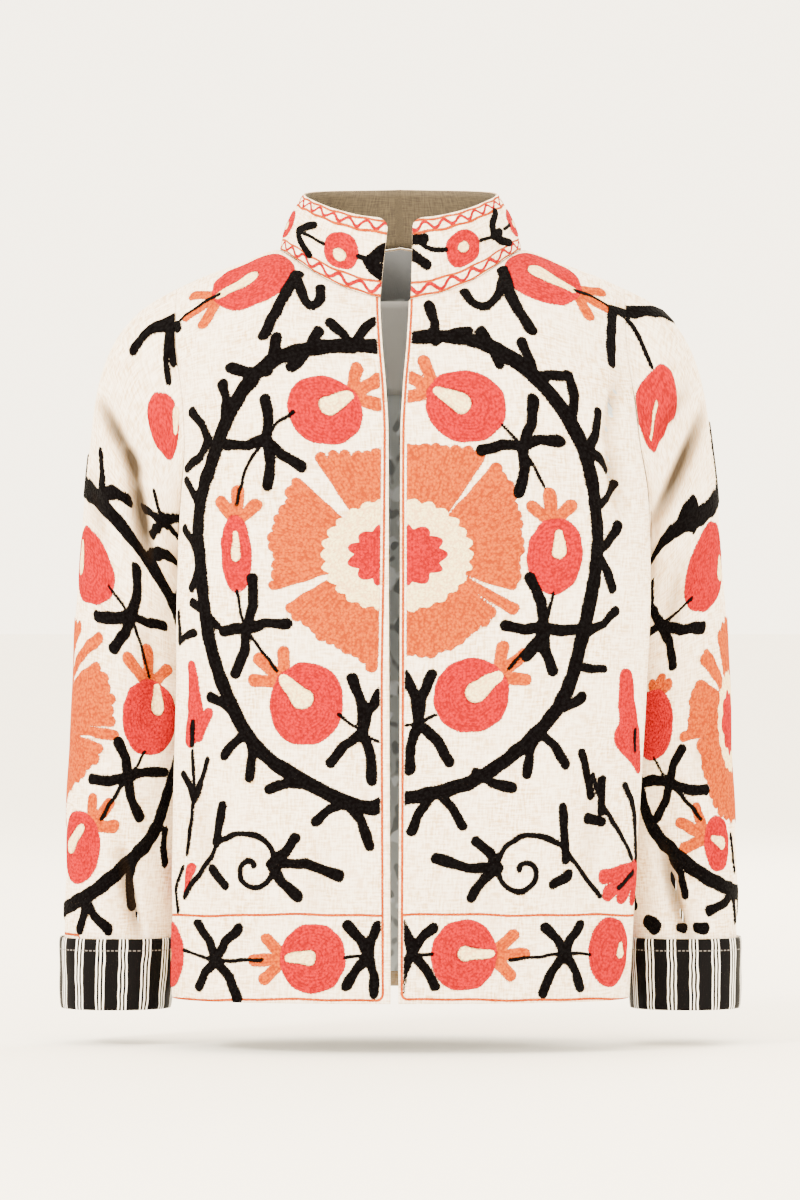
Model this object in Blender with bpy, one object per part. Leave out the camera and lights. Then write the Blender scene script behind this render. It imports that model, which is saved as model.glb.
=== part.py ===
"""Open-front embroidered jacket with a stand collar, filled out as when worn.

Units in the tables are millimetres and degrees; the meshes are in metres. +X is the
viewer's right, -Y the front, +Z up. The origin lies between the two neck points, where
the wearer's shoulders carry the garment.

The torso is one smooth surface: p runs round it from the centre (0) to the side line
(1 or -1), q runs up it from the hem (0) to the shoulder ridge (1). Front, back, lining
and label are patches of that surface. Each sleeve is a tube of tilted rings that starts
on the torso's armhole curve. Every piece is a closed wall of cloth.
"""

from collections import namedtuple

import bpy
import numpy as np

MM = 0.001

# Cloth walls
CLOTH = 1.8
COLLAR_CLOTH = 2.4
CUFF_CLOTH = 1.6
LINING_CLOTH = 1.0
LABEL_CLOTH = 0.8
SEAM_GAP = 0.3

# Torso, hem to shoulder. Squareness 2 is an ellipse, and more is boxier.
Level = namedtuple("Level", "z half_width side_y front_y back_y front_square back_square")
TORSO_LEVELS = (
    Level(-622, 193, -32, -128, 104, 2.5, 2.25),
    Level(-560, 194, -38, -129, 103, 2.5, 2.15),
    Level(-480, 196, -46, -129, 101, 2.5, 2.05),
    Level(-350, 198, -56, -128, 99, 2.6, 2.0),
    Level(-290, 199, -55, -127, 99, 2.7, 2.0),
    Level(-250, 199, -35, -126, 100, 2.85, 2.15),
    Level(-225, 199, -8, -125, 101, 3.0, 2.6),
    Level(-200, 199, -4, -125, 102, 3.0, 2.7),
)
HEM_Z = -622
CHEST_Z = -200
CHEST_Q = 0.65
TOP_SQUARE = 2.2

# The body hangs a little to one side between the hem and the shoulders.
Sway = namedtuple("Sway", "z shift")
SWAY = (
    Sway(-622, 0),
    Sway(-480, 4),
    Sway(-330, 10),
    Sway(-200, 12),
    Sway(-130, 8),
    Sway(-60, 0),
    Sway(60, 0),
)

# Height of the shoulder ridge by distance from the centre. Inside the neck it is only a
# guide that gives the front and back necklines their drop.
Ridge = namedtuple("Ridge", "x front_z back_z")
RIDGE = (
    Ridge(0, 3, 45),
    Ridge(60, 5, 31),
    Ridge(103, 10, 10),
    Ridge(135, -1, -1),
    Ridge(168, -13, -13),
    Ridge(198, -26.5, -26.5),
    Ridge(217, -34.5, -34.5),
)
NECK_HALF_WIDTH = 103
NECK_FRONT = 80
NECK_BACK = 54

# Armhole, by the angle round the sleeve from its top: height as a share of the way from
# the underarm to the shoulder, and x as a share of the half width.
Armhole = namedtuple("Armhole", "angle height front_share back_share")
ARMHOLE = (
    Armhole(0, 1.0, 0.955, 0.955),
    Armhole(36, 0.9, 0.955, 0.94),
    Armhole(72, 0.67, 0.955, 0.91),
    Armhole(108, 0.4, 0.962, 0.915),
    Armhole(144, 0.17, 0.991, 0.982),
    Armhole(162, 0.08, 0.998, 0.996),
    Armhole(180, 0.0, 1.0, 1.0),
)
UNDERARM_Z = -235

# Front edges: how far each side of the opening's middle they hang.
OPENING_MIDDLE_X = -5
Opening = namedtuple("Opening", "z half_gap")
OPENING = (
    Opening(-622, 3.2),
    Opening(-300, 4.6),
    Opening(-150, 5.0),
    Opening(-110, 7.0),
    Opening(-70, 10.4),
    Opening(-38, 12.0),
    Opening(0, 12.5),
)

# Sleeve rings from armhole to wrist: outer and inner edge seen from the front, then
# where the ring's middle lies and how deep it is to the front and back.
Ring = namedtuple("Ring", "outer_x outer_z inner_x inner_z middle_y front_deep back_deep")
SLEEVE_RINGS = (
    Ring(190, -23, 199, -235, 0, 60, 60),
    Ring(218, -37.5, 200, -246, 5, 60, 60),
    Ring(243, -66, 199.5, -257, 11, 60, 60),
    Ring(257.5, -107, 198, -270, 18, 58, 60),
    Ring(265.5, -155, 195, -285, 26, 57, 59),
    Ring(272.5, -222, 191, -306, 33, 55, 58),
    Ring(277.5, -300, 187, -342, 40, 54, 56),
    Ring(281.5, -382, 187, -394, 42, 51, 53),
    Ring(285.5, -467, 191, -470, 38, 49, 50),
    Ring(287.5, -568, 196, -570, 28, 46.5, 47),
    Ring(287, -632, 198.5, -632, 22, 46, 46),
)
SLEEVE_SQUARE = 2.15
ARMHOLE_FADE_RINGS = 6.5
FOLD_START_RINGS = 1.2

CUFF_BOTTOM_Z = -634.5
CUFF_HEIGHT = 60
CUFF_GAP = 0.9
CUFF_FLARE = 1.0

# Collar: height of its top edge by angle from the centre front, and its lean inwards.
CollarTop = namedtuple("CollarTop", "angle top_z")
COLLAR_TOP = (
    CollarTop(0, 32),
    CollarTop(20, 35),
    CollarTop(42, 42),
    CollarTop(65, 51),
    CollarTop(90, 58),
    CollarTop(135, 63),
    CollarTop(180, 65),
)
COLLAR_TOP_HALF_WIDTH = 82.5
COLLAR_TOP_FRONT = 68
COLLAR_TOP_BACK = 48
COLLAR_BOW = 2.5
COLLAR_CORNER = 8
COLLAR_SEAM_GAPS = 2
COLLAR_EDGE_BASE = (-17.0, 8.5)
COLLAR_EDGE_TOP = (-10.5, 9.5)

# Folds pressed into the cloth along a line in the front view. A trough has a positive
# depth. Sleeve folds give x as a distance from the centre and lie on both sleeves.
Fold = namedtuple("Fold", "face x0 z0 x1 z1 half_width depth")
BODY_FOLDS = (
    Fold("front", 178, -95, 181, -350, 15, 5.5),
    Fold("front", -166, -330, -172, -520, 16, 3.5),
    Fold("front", 60, -420, 66, -640, 26, 2.2),
    Fold("front", -95, -400, -90, -640, 28, 2.2),
    Fold("back", -120, -150, -105, -420, 18, 5.0),
    Fold("back", 122, -140, 112, -450, 18, 5.0),
    Fold("back", 40, -330, 45, -640, 26, 3.5),
    Fold("back", -38, -350, -48, -640, 26, 3.0),
)
SLEEVE_FOLDS = (
    Fold("front", 256, -140, 220, -238, 14, 11),
    Fold("front", 214, -330, 222, -470, 16, 4),
    Fold("front", 236, -500, 241, -610, 13, 4.5),
    Fold("back", 256, -150, 222, -250, 15, 9),
    Fold("back", 270, -330, 226, -390, 14, 5),
    Fold("back", 236, -480, 244, -600, 14, 4.5),
)

# Lining of the back, and the bare label sewn to it
LINING_INSET_STEPS = 1
LINING_GAP = 0.7
LABEL_GAP = 0.8
LABEL_HALF_WIDTH = 41
LABEL_MIDDLE_X = 2
LABEL_TOP_Z = -28
LABEL_BOTTOM_Z = -109

# Mesh fineness. Pieces that share a seam have the same steps along it.
SIDE_SEAM_STEPS = 13
ARMHOLE_STEPS = 10
SHOULDER_STEPS = 5
FRONT_NECK_STEPS = 6
BACK_NECK_STEPS = 12
SLEEVE_STEPS = 23
COLLAR_STEPS = 3
COLLAR_CORNER_SHARES = (0.06, 0.15)
CUFF_STEPS = 3
LABEL_STEPS = 4

# How finely curves are measured, and how often a point's place is refined
CURVE_SAMPLES = 160
REFINEMENTS = 4
TINY_SHARE = 1e-3
TINY_RINGS = 0.02
TINY_TURN = 0.5
SHARP_TURN = 50


def table(rows, key, value, at):
    """Reads a column of a table at any key, along a smooth curve that never overshoots."""
    x = np.array([getattr(row, key) for row in rows], float)
    y = np.array([getattr(row, value) for row in rows], float)
    step, rise = np.diff(x), np.diff(y) / np.diff(x)
    slope = np.zeros_like(y)
    same_way = rise[:-1] * rise[1:] > 0
    weight_a = 2 * step[1:] + step[:-1]
    weight_b = step[1:] + 2 * step[:-1]
    safe_a = np.where(same_way, rise[:-1], 1)
    safe_b = np.where(same_way, rise[1:], 1)
    harmonic = (weight_a + weight_b) / (weight_a / safe_a + weight_b / safe_b)
    slope[1:-1] = np.where(same_way, harmonic, 0)
    slope[0], slope[-1] = rise[0], rise[-1]
    at = np.clip(np.asarray(at, float), x[0], x[-1])
    i = np.clip(np.searchsorted(x, at, side="right") - 1, 0, len(x) - 2)
    t = (at - x[i]) / step[i]
    return (
        y[i] * (1 + 2 * t) * (1 - t) ** 2
        + slope[i] * step[i] * t * (1 - t) ** 2
        + y[i + 1] * t**2 * (3 - 2 * t)
        + slope[i + 1] * step[i] * t**2 * (t - 1)
    )


def rounded(angle, square):
    """Across and along shares of a rounded rectangle at an angle in quarter turns."""
    turn = angle * np.pi / 2
    s, c = np.sin(turn), np.cos(turn)
    radius = (np.abs(s) ** square + np.abs(c) ** square) ** (-1 / square)
    return radius * s, radius * c


def rounded_angle(share, square):
    """The angle, in quarter turns, at which a rounded rectangle's across share is this."""
    size = np.clip(np.abs(share), 0, 1)
    rest = (1 - size**square) ** (1 / square)
    return np.sign(share) * np.arctan2(size, rest) * 2 / np.pi


def unit(vectors):
    """The same directions at length one."""
    return vectors / np.linalg.norm(vectors, axis=-1, keepdims=True)


def level(column, z):
    """A column of the torso's table at this height, as at the chest from there up."""
    return table(TORSO_LEVELS, "z", column, np.minimum(z, CHEST_Z))


def sway(z):
    """How far the torso hangs to the viewer's right at this height."""
    return table(SWAY, "z", "shift", z)


def torso(p, q, face):
    """A point of the torso's outer surface, in millimetres. face is front or back."""
    p, q = np.broadcast_arrays(np.asarray(p, float), np.asarray(q, float))
    low_z = HEM_Z + (CHEST_Z - HEM_Z) * np.minimum(q / CHEST_Q, 1)
    across, deep = rounded(p, level(f"{face}_square", low_z))
    half_width, side_y = level("half_width", low_z), level("side_y", low_z)
    full_y = side_y + (level(f"{face}_y", low_z) - side_y) * deep
    rise = np.maximum(q - CHEST_Q, 0) / (1 - CHEST_Q)
    up, keep = rounded(rise, TOP_SQUARE)
    ridge = table(RIDGE, "x", f"{face}_z", np.abs(half_width * across))
    z = low_z + (ridge - CHEST_Z) * up
    return np.stack([half_width * across + sway(z), full_y * keep, z], axis=-1)


def torso_p(x, q, face):
    """The p at which the surface has this x, on a row q, refined for the sway."""
    p = np.zeros_like(np.asarray(x, float) + q)
    for _ in range(REFINEMENTS):
        z = torso(p, q, face)[..., 2]
        share = (x - sway(z)) / level("half_width", z)
        p = rounded_angle(share, level(f"{face}_square", z))
    return p


def torso_q(p, z, face):
    """The q at which the surface has this height, on a column p."""
    across, _ = rounded(p, level(f"{face}_square", z))
    half_width = level("half_width", z)
    ridge = table(RIDGE, "x", f"{face}_z", np.abs(half_width * across))
    upper = rounded_angle((z - CHEST_Z) / (ridge - CHEST_Z), TOP_SQUARE)
    lower = (z - HEM_Z) / (CHEST_Z - HEM_Z) * CHEST_Q
    return np.where(z > CHEST_Z, CHEST_Q + (1 - CHEST_Q) * upper, lower)


def torso_normal(p, q, face):
    """The outward direction, from the surface a little to each side of the point."""
    high, low = np.minimum(q + TINY_SHARE, 1), np.maximum(q - TINY_SHARE, 0)
    side = torso(p + TINY_SHARE, low, face) - torso(p - TINY_SHARE, low, face)
    up = torso(p, high, face) - torso(p, low, face)
    outward = np.cross(side, up) if face == "front" else np.cross(up, side)
    return unit(outward)


def fold_depth(points, folds, face):
    """How far the folds press the cloth in at each point, by distance from their lines."""
    x, z = points[..., 0], points[..., 2]
    total = np.zeros_like(x)
    for fold in folds:
        if fold.face != face:
            continue
        dx, dz = fold.x1 - fold.x0, fold.z1 - fold.z0
        length_squared = dx * dx + dz * dz
        along = ((x - fold.x0) * dx + (z - fold.z0) * dz) / length_squared
        near = np.clip(along, 0, 1)
        off_x, off_z = x - fold.x0 - near * dx, z - fold.z0 - near * dz
        off = np.hypot(off_x, off_z) / fold.half_width
        total += fold.depth * 4 * near * (1 - near) * np.exp(-off * off)
    return total


def neck_xy(angle):
    """The neckline seen from above, by angle from the centre front, in degrees."""
    turn = np.radians(angle)
    deep = np.where(np.cos(turn) > 0, NECK_FRONT, NECK_BACK)
    return NECK_HALF_WIDTH * np.sin(turn), -deep * np.cos(turn)


def neck_pq(angle, face):
    """Where the neckline lies on the torso's surface."""
    x, y = neck_xy(angle)
    square = level(f"{face}_square", CHEST_Z)
    p = rounded_angle(x / level("half_width", CHEST_Z), square)
    _, deep = rounded(p, square)
    side_y = level("side_y", CHEST_Z)
    full_y = side_y + (level(f"{face}_y", CHEST_Z) - side_y) * deep
    rise = 1 - rounded_angle(y / full_y, TOP_SQUARE)
    return p, CHEST_Q + (1 - CHEST_Q) * rise


def neck_point(angle):
    """The neckline in space, from the front surface or the back one."""
    front = torso(*neck_pq(angle, "front"), "front")
    back = torso(*neck_pq(angle, "back"), "back")
    return np.where((np.cos(np.radians(angle)) > 0)[..., None], front, back)


def armhole_pq(angle, face, side):
    """The armhole's edge on the torso, by angle round the sleeve from its top."""
    share = table(ARMHOLE, "angle", f"{face}_share", angle)
    top_x = ARMHOLE[0].front_share * level("half_width", CHEST_Z)
    top_z = table(RIDGE, "x", "front_z", top_x)
    z = UNDERARM_Z + (top_z - UNDERARM_Z) * table(ARMHOLE, "angle", "height", angle)
    p = rounded_angle(share, level(f"{face}_square", z))
    return side * p, torso_q(p, z, face)


def even_pq(p, q, face, steps):
    """Points of a line on the torso, evenly spaced in space."""
    step = np.linalg.norm(np.diff(torso(p, q, face), axis=0), axis=1)
    length = np.concatenate([[0], np.cumsum(step)])
    at = np.linspace(0, length[-1], steps + 1)
    return np.stack([np.interp(at, length, p), np.interp(at, length, q)], axis=1)


def side_edge(face, side):
    """Side seam and armhole as one line, hem to shoulder."""
    underarm_q = torso_q(np.array(1.0), np.array(float(UNDERARM_Z)), face)
    seam_q = np.linspace(0, underarm_q, SIDE_SEAM_STEPS + 1)
    seam = np.stack([np.full_like(seam_q, side), seam_q], axis=1)
    angle = np.linspace(180, 0, ARMHOLE_STEPS + 1)
    arm = np.stack(armhole_pq(angle, face, side), axis=1)
    return np.concatenate([seam[:-1], arm])


def shoulder_edge(face, side):
    """The shoulder ridge, from the neck point out to the armhole."""
    tip = armhole_pq(np.array(0.0), face, side)[0]
    neck = side * neck_pq(np.array(90.0), face)[0]
    p = np.linspace(neck, tip, CURVE_SAMPLES)
    return even_pq(p, np.ones_like(p), face, SHOULDER_STEPS)


def patch(bottom, top, left, right):
    """Fills a grid between four edges, each a line of p and q. Rows run upwards."""
    rows, cols = len(left), len(bottom)
    v = np.linspace(0, 1, rows)[:, None, None]
    u = np.linspace(0, 1, cols)[None, :, None]
    between_ends = (1 - v) * bottom[None] + v * top[None]
    between_sides = (1 - u) * left[:, None] + u * right[:, None]
    low, high = (1 - u) * bottom[0] + u * bottom[-1], (1 - u) * top[0] + u * top[-1]
    return between_ends + between_sides - (1 - v) * low - v * high


def collar_edge_turn(side, height=0.0):
    """Angle round the neck at which the collar and the front end."""
    base = COLLAR_EDGE_BASE[side > 0] / NECK_HALF_WIDTH
    top = COLLAR_EDGE_TOP[side > 0] / COLLAR_TOP_HALF_WIDTH
    return np.degrees(np.arcsin(base + (top - base) * height))


def opening_edge(side):
    """The front's opening edge, from the hem to the neckline."""
    neck_p, neck_q = neck_pq(collar_edge_turn(side), "front")
    neck_z = torso(neck_p, neck_q, "front")[2]
    z = np.linspace(HEM_Z, neck_z, CURVE_SAMPLES)
    x = OPENING_MIDDLE_X + side * table(OPENING, "z", "half_gap", z)
    q = torso_q(np.zeros_like(z), z, "front")
    p = torso_p(x, q, "front")
    p[-1], q[-1] = neck_p, neck_q
    return even_pq(p, q, "front", SIDE_SEAM_STEPS + ARMHOLE_STEPS)


def front_patch(side):
    """The p and q of one front, from its opening edge out to the side."""
    edge = opening_edge(side)
    turn = np.linspace(collar_edge_turn(side), side * 90, FRONT_NECK_STEPS + 1)
    neck = np.stack(neck_pq(turn, "front"), axis=1)
    top = np.concatenate([neck[:-1], shoulder_edge("front", side)])
    hem_p = np.linspace(edge[0, 0], side, len(top))
    hem = np.stack([hem_p, np.zeros_like(hem_p)], axis=1)
    return patch(hem, top, edge, side_edge("front", side))


def back_patch():
    """The p and q of the back, left side to right side."""
    turn = np.linspace(-90, -270, BACK_NECK_STEPS + 1)
    neck = np.stack(neck_pq(turn, "back"), axis=1)
    left = shoulder_edge("back", -1)[::-1]
    right = shoulder_edge("back", 1)
    top = np.concatenate([left[:-1], neck, right[1:]])
    hem_p = np.linspace(-1, 1, len(top))
    hem = np.stack([hem_p, np.zeros_like(hem_p)], axis=1)
    return patch(hem, top, side_edge("back", -1), side_edge("back", 1))


def inset(grid, gap):
    """Draws a sheet's four edges in a little, towards the next line of points."""
    moved = grid.copy()
    for here, there in (
        ((0, slice(None)), (1, slice(None))),
        ((-1, slice(None)), (-2, slice(None))),
        ((slice(None), 0), (slice(None), 1)),
        ((slice(None), -1), (slice(None), -2)),
    ):
        moved[here] += gap * unit(grid[there] - grid[here])
    return moved


def wall_on_torso(pq, face, depth, thickness):
    """Outer and inner points of a cloth wall that lies this deep under the surface."""
    p, q = pq[..., 0], pq[..., 1]
    normal = torso_normal(p, q, face)
    surface = torso(p, q, face)
    press = fold_depth(surface, BODY_FOLDS, face)[..., None]
    outer = inset(surface - (press + depth) * normal, SEAM_GAP / 2)
    return outer, outer - thickness * normal


def skin(points, number):
    """Two triangles for each cell of a numbered grid, cut along its shorter diagonal."""
    a, b = number[:-1, :-1].ravel(), number[:-1, 1:].ravel()
    c, d = number[1:, 1:].ravel(), number[1:, :-1].ravel()
    first = np.linalg.norm(points[a] - points[c], axis=1)
    second = np.linalg.norm(points[b] - points[d], axis=1)
    one_way = np.stack([a, b, c, a, c, d], axis=1)
    other_way = np.stack([a, b, d, b, c, d], axis=1)
    return np.where((first <= second)[:, None], one_way, other_way).reshape(-1, 3)


def rim(line, deeper):
    """Triangles that join a line of outer points to the inner points behind them."""
    here, there = line[:-1], line[1:]
    one = np.stack([here, there, there + deeper], axis=1)
    two = np.stack([here, there + deeper, here + deeper], axis=1)
    return np.concatenate([one, two])


def sheet(name, outer, inner, tube=False, flip=False):
    """Builds a closed wall from outer and inner grids. A tube closes on itself."""
    rows, cols = outer.shape[:2]
    count = rows * cols
    number = np.arange(count).reshape(rows, cols)
    if tube:
        number = np.concatenate([number, number[:, :1]], axis=1)
        rims = [number[0, ::-1], number[-1]]
    else:
        ring = [number[0], number[1:, -1], number[-1, -2::-1], number[-2::-1, 0]]
        rims = [np.concatenate(ring)[::-1]]
    outside = skin(outer.reshape(-1, 3), number)
    inside = outside[:, ::-1] + count
    faces = np.concatenate([outside, inside, *(rim(line, count) for line in rims)])
    if flip:
        faces = faces[:, ::-1]

    data = bpy.data.meshes.new(name)
    vertices = np.concatenate([outer.reshape(-1, 3), inner.reshape(-1, 3)]) * MM
    data.from_pydata(vertices.tolist(), [], faces.tolist())
    data.shade_smooth()
    data.set_sharp_from_angle(angle=np.radians(SHARP_TURN))
    piece = bpy.data.objects.new(name, data)
    bpy.context.scene.collection.objects.link(piece)
    return piece


def ring_value(column, row):
    """A column of the sleeve's table, by ring number counted from the armhole."""
    numbered = namedtuple("Numbered", ("number", *Ring._fields))
    rings = [numbered(number, *ring) for number, ring in enumerate(SLEEVE_RINGS)]
    return table(rings, "number", column, row)


def sleeve_ring(row, angle, side):
    """A point of the sleeve before it is fitted to the armhole. row counts rings."""
    outer_x, inner_x = ring_value("outer_x", row), ring_value("inner_x", row)
    outer_z, inner_z = ring_value("outer_z", row), ring_value("inner_z", row)
    forward, outward = rounded(angle / 90, SLEEVE_SQUARE)
    deep = np.where(
        forward > 0, ring_value("front_deep", row), ring_value("back_deep", row)
    )
    y = ring_value("middle_y", row) - deep * forward
    z = (outer_z + inner_z) / 2 + (outer_z - inner_z) / 2 * outward
    x = side * ((outer_x + inner_x) / 2 + (outer_x - inner_x) / 2 * outward)
    return np.stack([x + sway(z) * (1 - outward) / 2, y, z], axis=-1)


def armhole_loop(angle, side):
    """The armhole's curve in space, all the way round: front first, then back."""
    turn = np.where(angle > 180, 360 - angle, angle)
    front = torso(*armhole_pq(turn, "front", side), "front")
    back = torso(*armhole_pq(turn, "back", side), "back")
    return np.where((angle <= 180)[..., None], front, back)


def sleeve_surface(row, angle, side):
    """A point of the sleeve: its ring, drawn over to the armhole near the top."""
    row, angle = np.broadcast_arrays(np.asarray(row, float), np.asarray(angle, float))
    fit = armhole_loop(angle, side) - sleeve_ring(np.zeros_like(row), angle, side)
    fade = (1 - np.clip(row / ARMHOLE_FADE_RINGS, 0, 1) ** 2) ** 2
    point = sleeve_ring(row, angle, side) + fit * fade[..., None]
    mirrored = point * np.array([side, 1, 1])
    forward = np.sin(np.radians(angle))
    press = fold_depth(mirrored, SLEEVE_FOLDS, "front") * np.sqrt(np.clip(forward, 0, 1))
    press += fold_depth(mirrored, SLEEVE_FOLDS, "back") * np.sqrt(np.clip(-forward, 0, 1))
    press *= np.clip(row / FOLD_START_RINGS, 0, 1) ** 2
    outermost = sleeve_ring(row, np.zeros_like(angle), side)
    innermost = sleeve_ring(row, np.full_like(angle, 180), side)
    inwards = unit((outermost + innermost) / 2 - point)
    return point + inwards * press[..., None]


def sleeve_normal(row, angle, side):
    """The outward direction of the sleeve's surface."""
    last = len(SLEEVE_RINGS) - 1
    low, high = np.maximum(row - TINY_RINGS, 0), np.minimum(row + TINY_RINGS, last)
    down = sleeve_surface(high, angle, side) - sleeve_surface(low, angle, side)
    before, after = (angle - TINY_TURN) % 360, (angle + TINY_TURN) % 360
    forward = sleeve_surface(row, after, side) - sleeve_surface(row, before, side)
    return unit(side * np.cross(forward, down))


def make_sleeve(name, side):
    """A tube of cloth from the armhole to the wrist."""
    row = np.linspace(0, len(SLEEVE_RINGS) - 1, SLEEVE_STEPS + 1)[:, None]
    angle = np.linspace(0, 360, 2 * ARMHOLE_STEPS, endpoint=False)[None, :]
    row, angle = np.broadcast_arrays(row, angle)
    outer = sleeve_surface(row, angle, side)
    outer[0] += SEAM_GAP * unit(outer[1] - outer[0])
    inner = outer - CLOTH * sleeve_normal(row, angle, side)
    return sheet(name, outer, inner, tube=True, flip=side < 0)


def make_cuff(name, side):
    """The turned-up end of the sleeve's striped lining, a ring round the wrist."""
    last, before = SLEEVE_RINGS[-1], SLEEVE_RINGS[-2]
    bottom_row = np.full(2 * ARMHOLE_STEPS, len(SLEEVE_RINGS) - 1.0)
    top_z = CUFF_BOTTOM_Z + CUFF_HEIGHT
    top_row = bottom_row - (top_z - last.outer_z) / (before.outer_z - last.outer_z)
    angle = np.linspace(0, 360, 2 * ARMHOLE_STEPS, endpoint=False)
    height = np.linspace(0, 1, CUFF_STEPS + 1)[:, None, None]
    base = sleeve_surface(bottom_row, angle, side)
    top = sleeve_surface(top_row, angle, side)
    outward = sleeve_normal(bottom_row, angle, side)
    inner = base + (top - base) * height + (CUFF_GAP + CUFF_FLARE * height) * outward
    inner[..., 2] = CUFF_BOTTOM_Z + CUFF_HEIGHT * height[..., 0]
    outer = inner + CUFF_CLOTH * outward
    return sheet(name, outer, inner, tube=True, flip=side > 0)


def collar_surface(angle, height):
    """A point of the collar, by angle from the centre front and share of its height."""
    turn = np.radians(angle)
    base = neck_point(angle)
    deep = np.where(np.cos(turn) > 0, COLLAR_TOP_FRONT, COLLAR_TOP_BACK)
    top_z = table(COLLAR_TOP, "angle", "top_z", np.abs((angle + 180) % 360 - 180))
    top_x, top_y = COLLAR_TOP_HALF_WIDTH * np.sin(turn), -deep * np.cos(turn)
    top = np.stack([top_x, top_y, top_z], axis=-1)
    outward = np.stack([np.sin(turn), -np.cos(turn), np.zeros_like(turn)], axis=-1)
    bow = COLLAR_BOW * 4 * height * (1 - height)
    return base + (top - base) * height[..., None] + outward * bow[..., None]


def collar_normal(angle, height):
    """The outward direction of the collar's surface."""
    high, low = height + TINY_SHARE, height - TINY_SHARE
    up = collar_surface(angle, high) - collar_surface(angle, low)
    before, after = angle - TINY_TURN, angle + TINY_TURN
    forward = collar_surface(after, height) - collar_surface(before, height)
    return unit(np.cross(forward, up))


def collar_grid():
    """Angles and height shares of the collar's grid, with its front corners rounded."""
    height = np.linspace(0, 1, COLLAR_STEPS + 1)[:, None]
    start, end = collar_edge_turn(1, height), collar_edge_turn(-1, height) + 360
    share = np.linspace(0, 1, FRONT_NECK_STEPS + 1)
    share = np.sort(np.append(share, COLLAR_CORNER_SHARES))[None, :]
    right, left = start + (90 - start) * share, end + (270 - end) * share[:, ::-1]
    back = np.linspace(90, 270, BACK_NECK_STEPS + 1)[None, 1:-1]
    back = np.broadcast_to(back, (len(height), back.shape[1]))
    angle = np.concatenate([right, back, left], axis=1)
    from_edge = np.radians(np.minimum(angle - start, end - angle)) * COLLAR_TOP_FRONT
    inside = np.clip(COLLAR_CORNER - from_edge, 0, COLLAR_CORNER)
    drop = COLLAR_CORNER - np.sqrt(COLLAR_CORNER**2 - inside**2)
    full_z = collar_surface(angle, np.ones_like(angle))[..., 2]
    return angle, height * (1 - drop / (full_z - neck_point(angle)[..., 2]))


def make_collar(name):
    """A band round the neck, open at the front, with rounded upper corners."""
    angle, height = collar_grid()
    outer = collar_surface(angle, height)
    inner = outer - COLLAR_CLOTH * collar_normal(angle, height)
    outer[0, :, 2] += COLLAR_SEAM_GAPS * SEAM_GAP
    inner[0, :, 2] = outer[0, :, 2]
    return sheet(name, outer, inner)


def make_front(name, side):
    """One front, from the opening to the side seam and the armhole."""
    outer, inner = wall_on_torso(front_patch(side), "front", 0, CLOTH)
    return sheet(name, outer, inner, flip=side < 0)


def make_back(name):
    """The back, cut in one piece."""
    outer, inner = wall_on_torso(back_patch(), "back", 0, CLOTH)
    return sheet(name, outer, inner, flip=True)


def make_lining(name):
    """The back's lining, from the back's own points a step in from its edges."""
    edge = LINING_INSET_STEPS
    pq = back_patch()[edge:-edge, edge:-edge]
    outer, inner = wall_on_torso(pq, "back", CLOTH + LINING_GAP, LINING_CLOTH)
    return sheet(name, outer, inner, flip=True)


def make_label(name):
    """A plain oblong of cloth on the lining under the neck."""
    z = np.linspace(LABEL_BOTTOM_Z, LABEL_TOP_Z, LABEL_STEPS + 1)[:, None]
    x = np.linspace(-LABEL_HALF_WIDTH, LABEL_HALF_WIDTH, LABEL_STEPS + 1)[None, :]
    x, z = np.broadcast_arrays(LABEL_MIDDLE_X + x, z)
    p = np.zeros_like(x)
    for _ in range(REFINEMENTS):
        q = torso_q(p, z, "back")
        p = torso_p(x, q, "back")
    depth = CLOTH + LINING_GAP + LINING_CLOTH + LABEL_GAP
    outer, inner = wall_on_torso(np.stack([p, q], axis=-1), "back", depth, LABEL_CLOTH)
    return sheet(name, outer, inner, flip=True)


def cloth(name, colour, roughness):
    """A plain cloth finish."""
    material = bpy.data.materials.new(name)
    material.use_nodes = True
    shader = material.node_tree.nodes["Principled BSDF"]
    shader.inputs["Base Color"].default_value = (*colour, 1)
    shader.inputs["Roughness"].default_value = roughness
    shader.inputs["Metallic"].default_value = 0
    return material


def main():
    """Builds the pieces, each with its own finish."""
    for left_over in list(bpy.data.objects):
        bpy.data.objects.remove(left_over)
    ecru = cloth("ecru_cotton", (0.80, 0.73, 0.63), 0.9)
    striped = cloth("striped_satin", (0.05, 0.045, 0.05), 0.5)
    grey = cloth("grey_lining", (0.22, 0.24, 0.26), 0.7)
    silver = cloth("label_satin", (0.38, 0.38, 0.39), 0.6)
    pieces = (
        (make_front("front_left", -1), ecru),
        (make_front("front_right", 1), ecru),
        (make_back("back"), ecru),
        (make_sleeve("sleeve_left", -1), ecru),
        (make_sleeve("sleeve_right", 1), ecru),
        (make_collar("collar"), ecru),
        (make_cuff("cuff_left", -1), striped),
        (make_cuff("cuff_right", 1), striped),
        (make_lining("lining_back"), grey),
        (make_label("neck_label"), silver),
    )
    for piece, material in pieces:
        piece.data.materials.append(material)


main()
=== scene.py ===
"""Looks of the embroidered open-front jacket, on the forms of its CAD pieces.

Tables are in millimetres and degrees, meshes in metres. +X is the viewer's right, -Y the
front, +Z up. The needlework is laid out in flat cloth coordinates: u runs round the body
or sleeve from its middle line, v runs up from the hem or the wrist. Each thread colour is
kept on the cloth as a distance to the edge of its stitched areas, negative inside.
"""

import logging
from collections.abc import Callable
from dataclasses import dataclass, fields
from enum import Enum

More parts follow.
